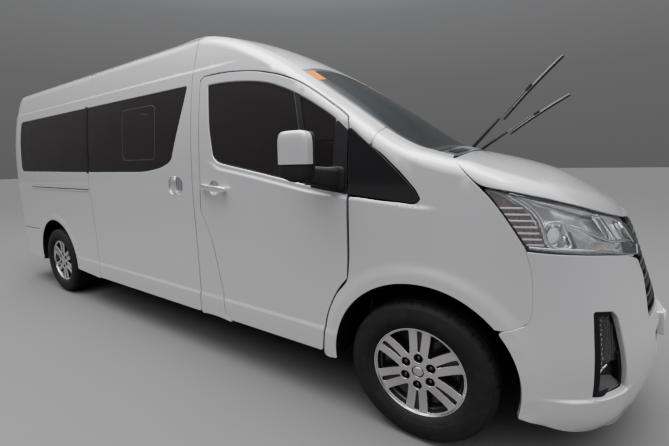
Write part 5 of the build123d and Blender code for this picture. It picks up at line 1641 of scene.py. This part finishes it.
# steering wheel
C = np.array([1330.0, 470.0, 1190.0])
ax = np.array([-0.8, 0, 0.6])
e1 = np.array([0, 1.0, 0])
e2 = np.cross(ax, e1)
loop = np.array([C + 182 * (e1 * math.cos(t) + e2 * math.sin(t)) for t in np.linspace(0, 2 * math.pi, 72, endpoint=False)])
v, f = swept(loop, np.tile(ax, (72, 1)), [(14.5 * math.cos(t), 16 * math.sin(t)) for t in np.linspace(0, 2 * math.pi, 16, endpoint=False)], closed=True)
pile = Pile().add(v, f, 0)
rot = np.stack([e1, e2, ax], 0)
v, f = pod((-62, -52, -30), (62, 52, 14), 3.0, 36, 20)
pile.add(v @ rot + C - ax * 8, f, 0)
for t in (0.0, math.pi, math.pi / 2):
    d_ = e1 * math.cos(t) + e2 * math.sin(t)
    if abs(t - math.pi / 2) < 0.1 and (d_[2] > 0):
        d_ = -d_
    pth = curve_through([C + d_ * 40 - ax * 14, C + d_ * 110 - ax * 10, C + d_ * 180], 8)
    v, f = swept(pth, np.tile(ax, (8, 1)), rounded(34, 14, 5, 4), scale=np.linspace(1.2, 0.8, 8))
    pile.add(v, f, 1)
ob = pile.make("steering_wheel_shape", [SOFTPLASTIC, SATIN], 40)
put(ob, "steering_wheel", "steering_wheel", slot="dash_plastic")


# seats: soft forms blown up as cloth, then stitched
def grid_box(lo, hi, n, shape):
    """a box divided into small squares, its points moved by a shape function of 0..1 coordinates"""
    bm = bmesh.new()
    bmesh.ops.create_cube(bm, size=1.0)
    bmesh.ops.subdivide_edges(bm, edges=list(bm.edges), cuts=n, use_grid_fill=True)
    lo, hi = np.array(lo, float), np.array(hi, float)
    for q in bm.verts:
        u = np.array(q.co) + 0.5
        # round the corners a little
        w = (u - 0.5) * 2
        r = (np.abs(w) ** 6).sum() ** (1 / 6)
        m = max(np.abs(w).max(), 1e-9)
        w = w * (m / r) * (0.35 + 0.65 * 1.0)
        u = w / 2 + 0.5
        q.co = Vector(tuple(shape(lo + u * (hi - lo), u)))
    me = bpy.data.meshes.new("soft")
    bm.to_mesh(me)
    bm.free()
    return me


def puff(me, name, voxel, pressure, cap, mats):
    """blows a closed form up as cloth, keeps it near its start and smooths it"""
    ob = bpy.data.objects.new(name, me)
    COL.objects.link(ob)
    rm = ob.modifiers.new("remesh", "REMESH")
    rm.mode = "VOXEL"
    rm.voxel_size = voxel
    dg = bpy.context.evaluated_depsgraph_get()
    me2 = bpy.data.meshes.new_from_object(ob.evaluated_get(dg))
    ob.modifiers.clear()
    ob.data = me2
    start = np.empty(len(me2.vertices) * 3, np.float32)
    me2.vertices.foreach_get("co", start)
    start = start.reshape(-1, 3)
    cl = ob.modifiers.new("cloth", "CLOTH")
    st_ = cl.settings
    st_.quality = 5
    st_.mass = 0.3
    st_.tension_stiffness = st_.compression_stiffness = 12.0
    st_.bending_stiffness = 1.2
    st_.use_pressure = True
    st_.uniform_pressure_force = pressure
    st_.effector_weights.gravity = 0.0
    cl.collision_settings.use_collision = False
    sc = bpy.context.scene
    for fr in range(1, 21):
        sc.frame_set(fr)
    dg = bpy.context.evaluated_depsgraph_get()
    done = bpy.data.meshes.new_from_object(ob.evaluated_get(dg))
    sc.frame_set(1)
    ob.modifiers.clear()
    end = np.empty(len(done.vertices) * 3, np.float32)
    done.vertices.foreach_get("co", end)
    end = end.reshape(-1, 3)
    mv = end - start
    ln = np.maximum(np.linalg.norm(mv, axis=1), 1e-9)
    mv *= (np.minimum(ln, cap) / ln)[:, None]
    me2.vertices.foreach_set("co", (start + mv).ravel())
    for m in mats:
        me2.materials.append(m)
    me2.polygons.foreach_set("use_smooth", np.ones(len(me2.polygons), bool))
    me2.update()
    return ob


def cushion_shape(p, u):
    x, y, z = p
    z += 0.016 * (4 * u[1] * (1 - u[1])) * (u[2] > 0.5) - 0.012 * (1 - u[0]) * (u[2] > 0.5)
    z += 0.020 * (abs(u[1] - 0.5) * 2) ** 5 * (u[2] > 0.5)
    return x, y, z


def back_shape(p, u):
    x, y, z = p
    y *= 1 - 0.10 * u[2] ** 3
    x += 0.026 * (abs(u[1] - 0.5) * 2) ** 4 * (u[0] > 0.5) + 0.014 * math.sin(math.pi * u[2]) * (u[0] > 0.5)
    return x, y, z


def head_shape(p, u):
    x, y, z = p
    y *= 1 - 0.12 * u[2] ** 2
    return x, y, z


# master forms at the origin, metres: cushion, back, head
VOX = 0.0125
m_c = puff(grid_box((0.02, -0.205, 0.02), (0.50, 0.205, 0.125), 9, cushion_shape), "soft_c", VOX, 4.0, 0.020, [])
m_b = puff(grid_box((-0.05, -0.205, 0.0), (0.052, 0.205, 0.575), 9, back_shape), "soft_b", VOX, 4.0, 0.020, [])
m_h = puff(grid_box((-0.035, -0.120, 0.0), (0.045, 0.120, 0.185), 6, head_shape), "soft_h", VOX, 4.0, 0.012, [])
forms = []
for o in (m_c, m_b, m_h):
    me = o.data
    co = np.empty(len(me.vertices) * 3, np.float32)
    me.vertices.foreach_get("co", co)
    faces_ = [tuple(p.vertices) for p in me.polygons]
    forms.append((co.reshape(-1, 3).astype(float), faces_))
    bpy.data.objects.remove(o)


def seat(x, y, w, name, rise, fine):
    z0 = 0.570 + rise / 1000.0
    k = w / 440.0
    for part, (co, faces_) in zip(("cushion", "back", "head"), forms):
        c = co.copy()
        if part == "cushion":
            # sewn channels along and across the cushion
            c[:, 1] *= k
            top_ = np.clip((c[:, 2] - 0.07) / 0.03, 0, 1)
            for yy in (-0.13 * k, 0.13 * k):
                c[:, 2] -= 0.007 * np.exp(-((c[:, 1] - yy) / 0.010) ** 2) * top_
            for xx in (0.17, 0.29, 0.41):
                c[:, 2] -= 0.005 * np.exp(-((c[:, 0] - xx) / 0.010) ** 2) * top_ * (np.abs(c[:, 1]) < 0.13 * k)
            c += (x / 1000.0 + 0.0, y / 1000.0, z0 - 0.055)
            mat, fill = [CLOTH, BOLSTER], 0.85
            pick = [1 if abs(np.mean([co[q][1] for q in fa])) > 0.13 or np.mean([co[q][2] for q in fa]) < 0.05 else 0 for fa in faces_]
        elif part == "back":
            c[:, 1] *= k
            front_ = np.clip((c[:, 0] - 0.015) / 0.03, 0, 1)
            for yy in (-0.13 * k, 0.13 * k):
                c[:, 0] -= 0.007 * np.exp(-((c[:, 1] - yy) / 0.010) ** 2) * front_
            for zz in (0.14, 0.27, 0.40):
                c[:, 0] -= 0.005 * np.exp(-((c[:, 2] - zz) / 0.010) ** 2) * front_ * (np.abs(c[:, 1]) < 0.13 * k)
            lean = math.radians(13.5)
            xx, zz = c[:, 0].copy(), c[:, 2].copy()
            c[:, 0] = xx * math.cos(lean) - zz * math.sin(lean)
            c[:, 2] = xx * math.sin(lean) + zz * math.cos(lean)
            c += (x / 1000.0 + 0.055, y / 1000.0, z0 + 0.085)
            mat, fill = [CLOTH, BOLSTER], 0.9
            pick = [1 if abs(np.mean([co[q][1] for q in fa])) > 0.13 or np.mean([co[q][0] for q in fa]) < 0.02 else 0 for fa in faces_]
        else:
            lean = math.radians(12.0)
            xx, zz = c[:, 0].copy(), c[:, 2].copy()
            c[:, 0] = xx * math.cos(lean) - zz * math.sin(lean)
            c[:, 2] = xx * math.sin(lean) + zz * math.cos(lean)
            c += (x / 1000.0 - 0.092, y / 1000.0, z0 + 0.655)
            mat, fill = [BOLSTER], 0.9
            pick = None
        me = bpy.data.meshes.new("%s_%s" % (name, part))
        me.from_pydata([tuple(q) for q in c], [], faces_)
        for m in mat:
            me.materials.append(m)
        if pick is not None:
            me.polygons.foreach_set("material_index", np.array(pick, np.int32))
        me.polygons.foreach_set("use_smooth", np.ones(len(me.polygons), bool))
        me.update()
        ob = bpy.data.objects.new("%s_%s" % (name, part), me)
        COL.objects.link(ob)
        if fine:
            sub = ob.modifiers.new("sub", "SUBSURF")
            sub.levels = sub.render_levels = 1
        fewer = ob.modifiers.new("fewer", "DECIMATE")
        fewer.ratio = 0.5 if fine else 0.28
        put(ob, "root", "front_seats" if fine else "rear_seats", slot="seat_fabric")
    # frame, posts and foot
    zf = 0.570
    pile = Pile()
    Z = z0 * 1000
    v, f = brick((x + 24, y - w / 2 + 14, Z - 64), (x + 488, y + w / 2 - 14, Z - 28), 12)
    pile.add(v, f, 0)
    leg_w = min(w / 2 - 40, 150)
    for sg in (-1, 1):
        yy = y + sg * leg_w
        if abs(yy) > 600 and abs(y) > 600:
            yy = y - math.copysign(abs(leg_w) * 0.2, y) if sg * y > 0 else yy
        v, f = brick((x + 90, yy - 20, 572), (x + 130, yy + 20, Z - 50), 6)
        pile.add(v, f, 1)
        v, f = brick((x + 380, yy - 20, 572), (x + 420, yy + 20, Z - 50), 6)
        pile.add(v, f, 1)
        v, f = brick((x + 66, yy - 24, 570.5), (x + 440, yy + 24, 584), 4)
        pile.add(v, f, 1)
    for sg in (-1, 1):
        v, f = swept([(x - 76, y + sg * 62, Z + 628), (x - 92, y + sg * 62, Z + 690)], (1.0, 0, 0), circle(6.5, 10))
        pile.add(v, f, 2)
    ob = pile.make(name + "_frame", [SOFTPLASTIC, RAW, SATIN])
    put(ob, "root", slot="dash_plastic")


for k, y in enumerate((470.0, -470.0)):
    seat(900.0, y, 500.0, "front_seat_%d" % k, 310.0, True)
ROWS = [(-90, ((560, 440), (90, 440), (-470, 300))), (-860, ((560, 440), (90, 440), (-470, 300))),
        (-1560, ((400, 400), (-20, 400), (-440, 300))), (-2420, ((612, 400), (204, 400), (-204, 400), (-612, 400)))]
for r, (x, row) in enumerate(ROWS):
    for k, (y, w) in enumerate(row):
        seat(float(x), float(y), float(w), "rear_seat_%d_%d" % (r, k), 305.0, False)

# inner handles and pulls on the front doors
for s, name in SIDES:
    pile = Pile()
    v, f = brick((700, min(s * 850, s * 902), 1010), (1330, max(s * 850, s * 902), 1066), 18)
    pile.add(v, f, 0)
    v, f = brick((900, min(s * 880, s * 906), 620), (1380, max(s * 880, s * 906), 800), 14)
    pile.add(v, f, 0)
    v, f = brick((1270, min(s * 878, s * 900), 1110), (1350, max(s * 878, s * 900), 1136), 6)
    pile.add(v, f, 1)
    g = pile.make("door_rest_" + name, [SOFTPLASTIC, SATIN])
    put(g, "front_door_" + name, slot="dash_plastic")

# ------------------------------------------------------------------ finishes of the pieces kept from the CAD part
KEPT = {"floor_pan": VINYL, "chassis_frame": STEEL, "cowl_panel": STEEL, "engine_block": CAST, "fuel_tank": STEEL, "exhaust_pipe": RAW,
        "rear_axle": STEEL, "front_suspension": STEEL, "wheel_liners": GRAIN, "knuckle_left": RAW, "knuckle_right": RAW}
for n, m in KEPT.items():
    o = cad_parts[n]
    o.data.materials.clear()
    o.data.materials.append(m)

# ------------------------------------------------------------------ stage, light, camera
floor_me = bpy.data.meshes.new("stage_floor")
floor_me.from_pydata([(-60, -60, 0), (60, -60, 0), (60, 60, 0), (-60, 60, 0)], [], [(0, 1, 2, 3)])
floor = bpy.data.objects.new("stage_floor", floor_me)
COL.objects.link(floor)
floor_me.materials.append(material("stage_floor", (0.124, 0.122, 0.120), rough=0.85, vary=0.015, scale=0.8, spec=0.2))

world = bpy.data.worlds.new("world")
bpy.context.scene.world = world
world.use_nodes = True
wn = world.node_tree
bg = wn.nodes["Background"]
tc = wn.nodes.new("ShaderNodeTexCoord")
sep = wn.nodes.new("ShaderNodeSeparateXYZ")
wn.links.new(tc.outputs["Generated"], sep.inputs["Vector"])
rampn = wn.nodes.new("ShaderNodeValToRGB")
el = rampn.color_ramp.elements
el[0].position, el[0].color = 0.0, (0.040, 0.040, 0.040, 1)
el[1].position, el[1].color = 1.0, (0.96, 0.975, 1.0, 1)
for at, c in ((0.20, (0.047, 0.047, 0.047)), (0.36, (0.062, 0.0625, 0.064)), (0.48, (0.115, 0.118, 0.122)), (0.56, (0.46, 0.47, 0.485)), (0.64, (0.82, 0.835, 0.86))):
    e = el.new(at)
    e.color = list(c) + [1]
wn.links.new(sep.outputs["Z"], rampn.inputs["Fac"])
wn.links.new(rampn.outputs["Color"], bg.inputs["Color"])
bg.inputs["Strength"].default_value = 2.9


def area_light(name, at, to, size, power, color=(1, 1, 1)):
    li = bpy.data.lights.new(name, "AREA")
    li.energy, li.color, li.shape = power, color, "RECTANGLE"
    li.size, li.size_y = size
    ob = bpy.data.objects.new(name, li)
    COL.objects.link(ob)
    ob.location = at
    ob.rotation_mode = "QUATERNION"
    ob.rotation_quaternion = (Vector(to) - Vector(at)).to_track_quat("-Z", "Y")
    return ob


area_light("key_overhead", (0.5, -1.3, 7.0), (0, -0.3, 0), (8.0, 4.5), 1000.0)
area_light("side_fill", (3.0, -8.0, 4.0), (0, 0, 1.0), (7.0, 3.0), 30.0, (1.0, 0.985, 0.97))
area_light("front_fill", (8.5, 1.0, 3.5), (1.5, 0, 0.9), (4.0, 3.0), 45.0)

YAW, PITCH, ROLL = 2.160837, -0.168920, -0.019524
cam_data = bpy.data.cameras.new("camera")
cam = bpy.data.objects.new("camera", cam_data)
COL.objects.link(cam)
d = Vector((math.cos(PITCH) * math.cos(YAW), math.cos(PITCH) * math.sin(YAW), math.sin(PITCH)))
right = Vector((math.sin(YAW), -math.cos(YAW), 0.0))
up = right.cross(d)
r_ = math.cos(ROLL) * right + math.sin(ROLL) * up
u_ = -math.sin(ROLL) * right + math.cos(ROLL) * up
cam.matrix_world = Matrix(((r_.x, u_.x, -d.x, 2.3949), (r_.y, u_.y, -d.y, -2.4327), (r_.z, u_.z, -d.z, 1.3326), (0, 0, 0, 1)))
cam_data.sensor_width = 36.0
cam_data.sensor_fit = "HORIZONTAL"
cam_data.lens = 343.608 / 669.0 * 36.0
cam_data.shift_x = 22.58 / 669.0
cam_data.shift_y = -0.716 / 669.0
cam_data.clip_start, cam_data.clip_end = 0.05, 200.0
cam_data.dof.use_dof = False
bpy.context.scene.camera = cam
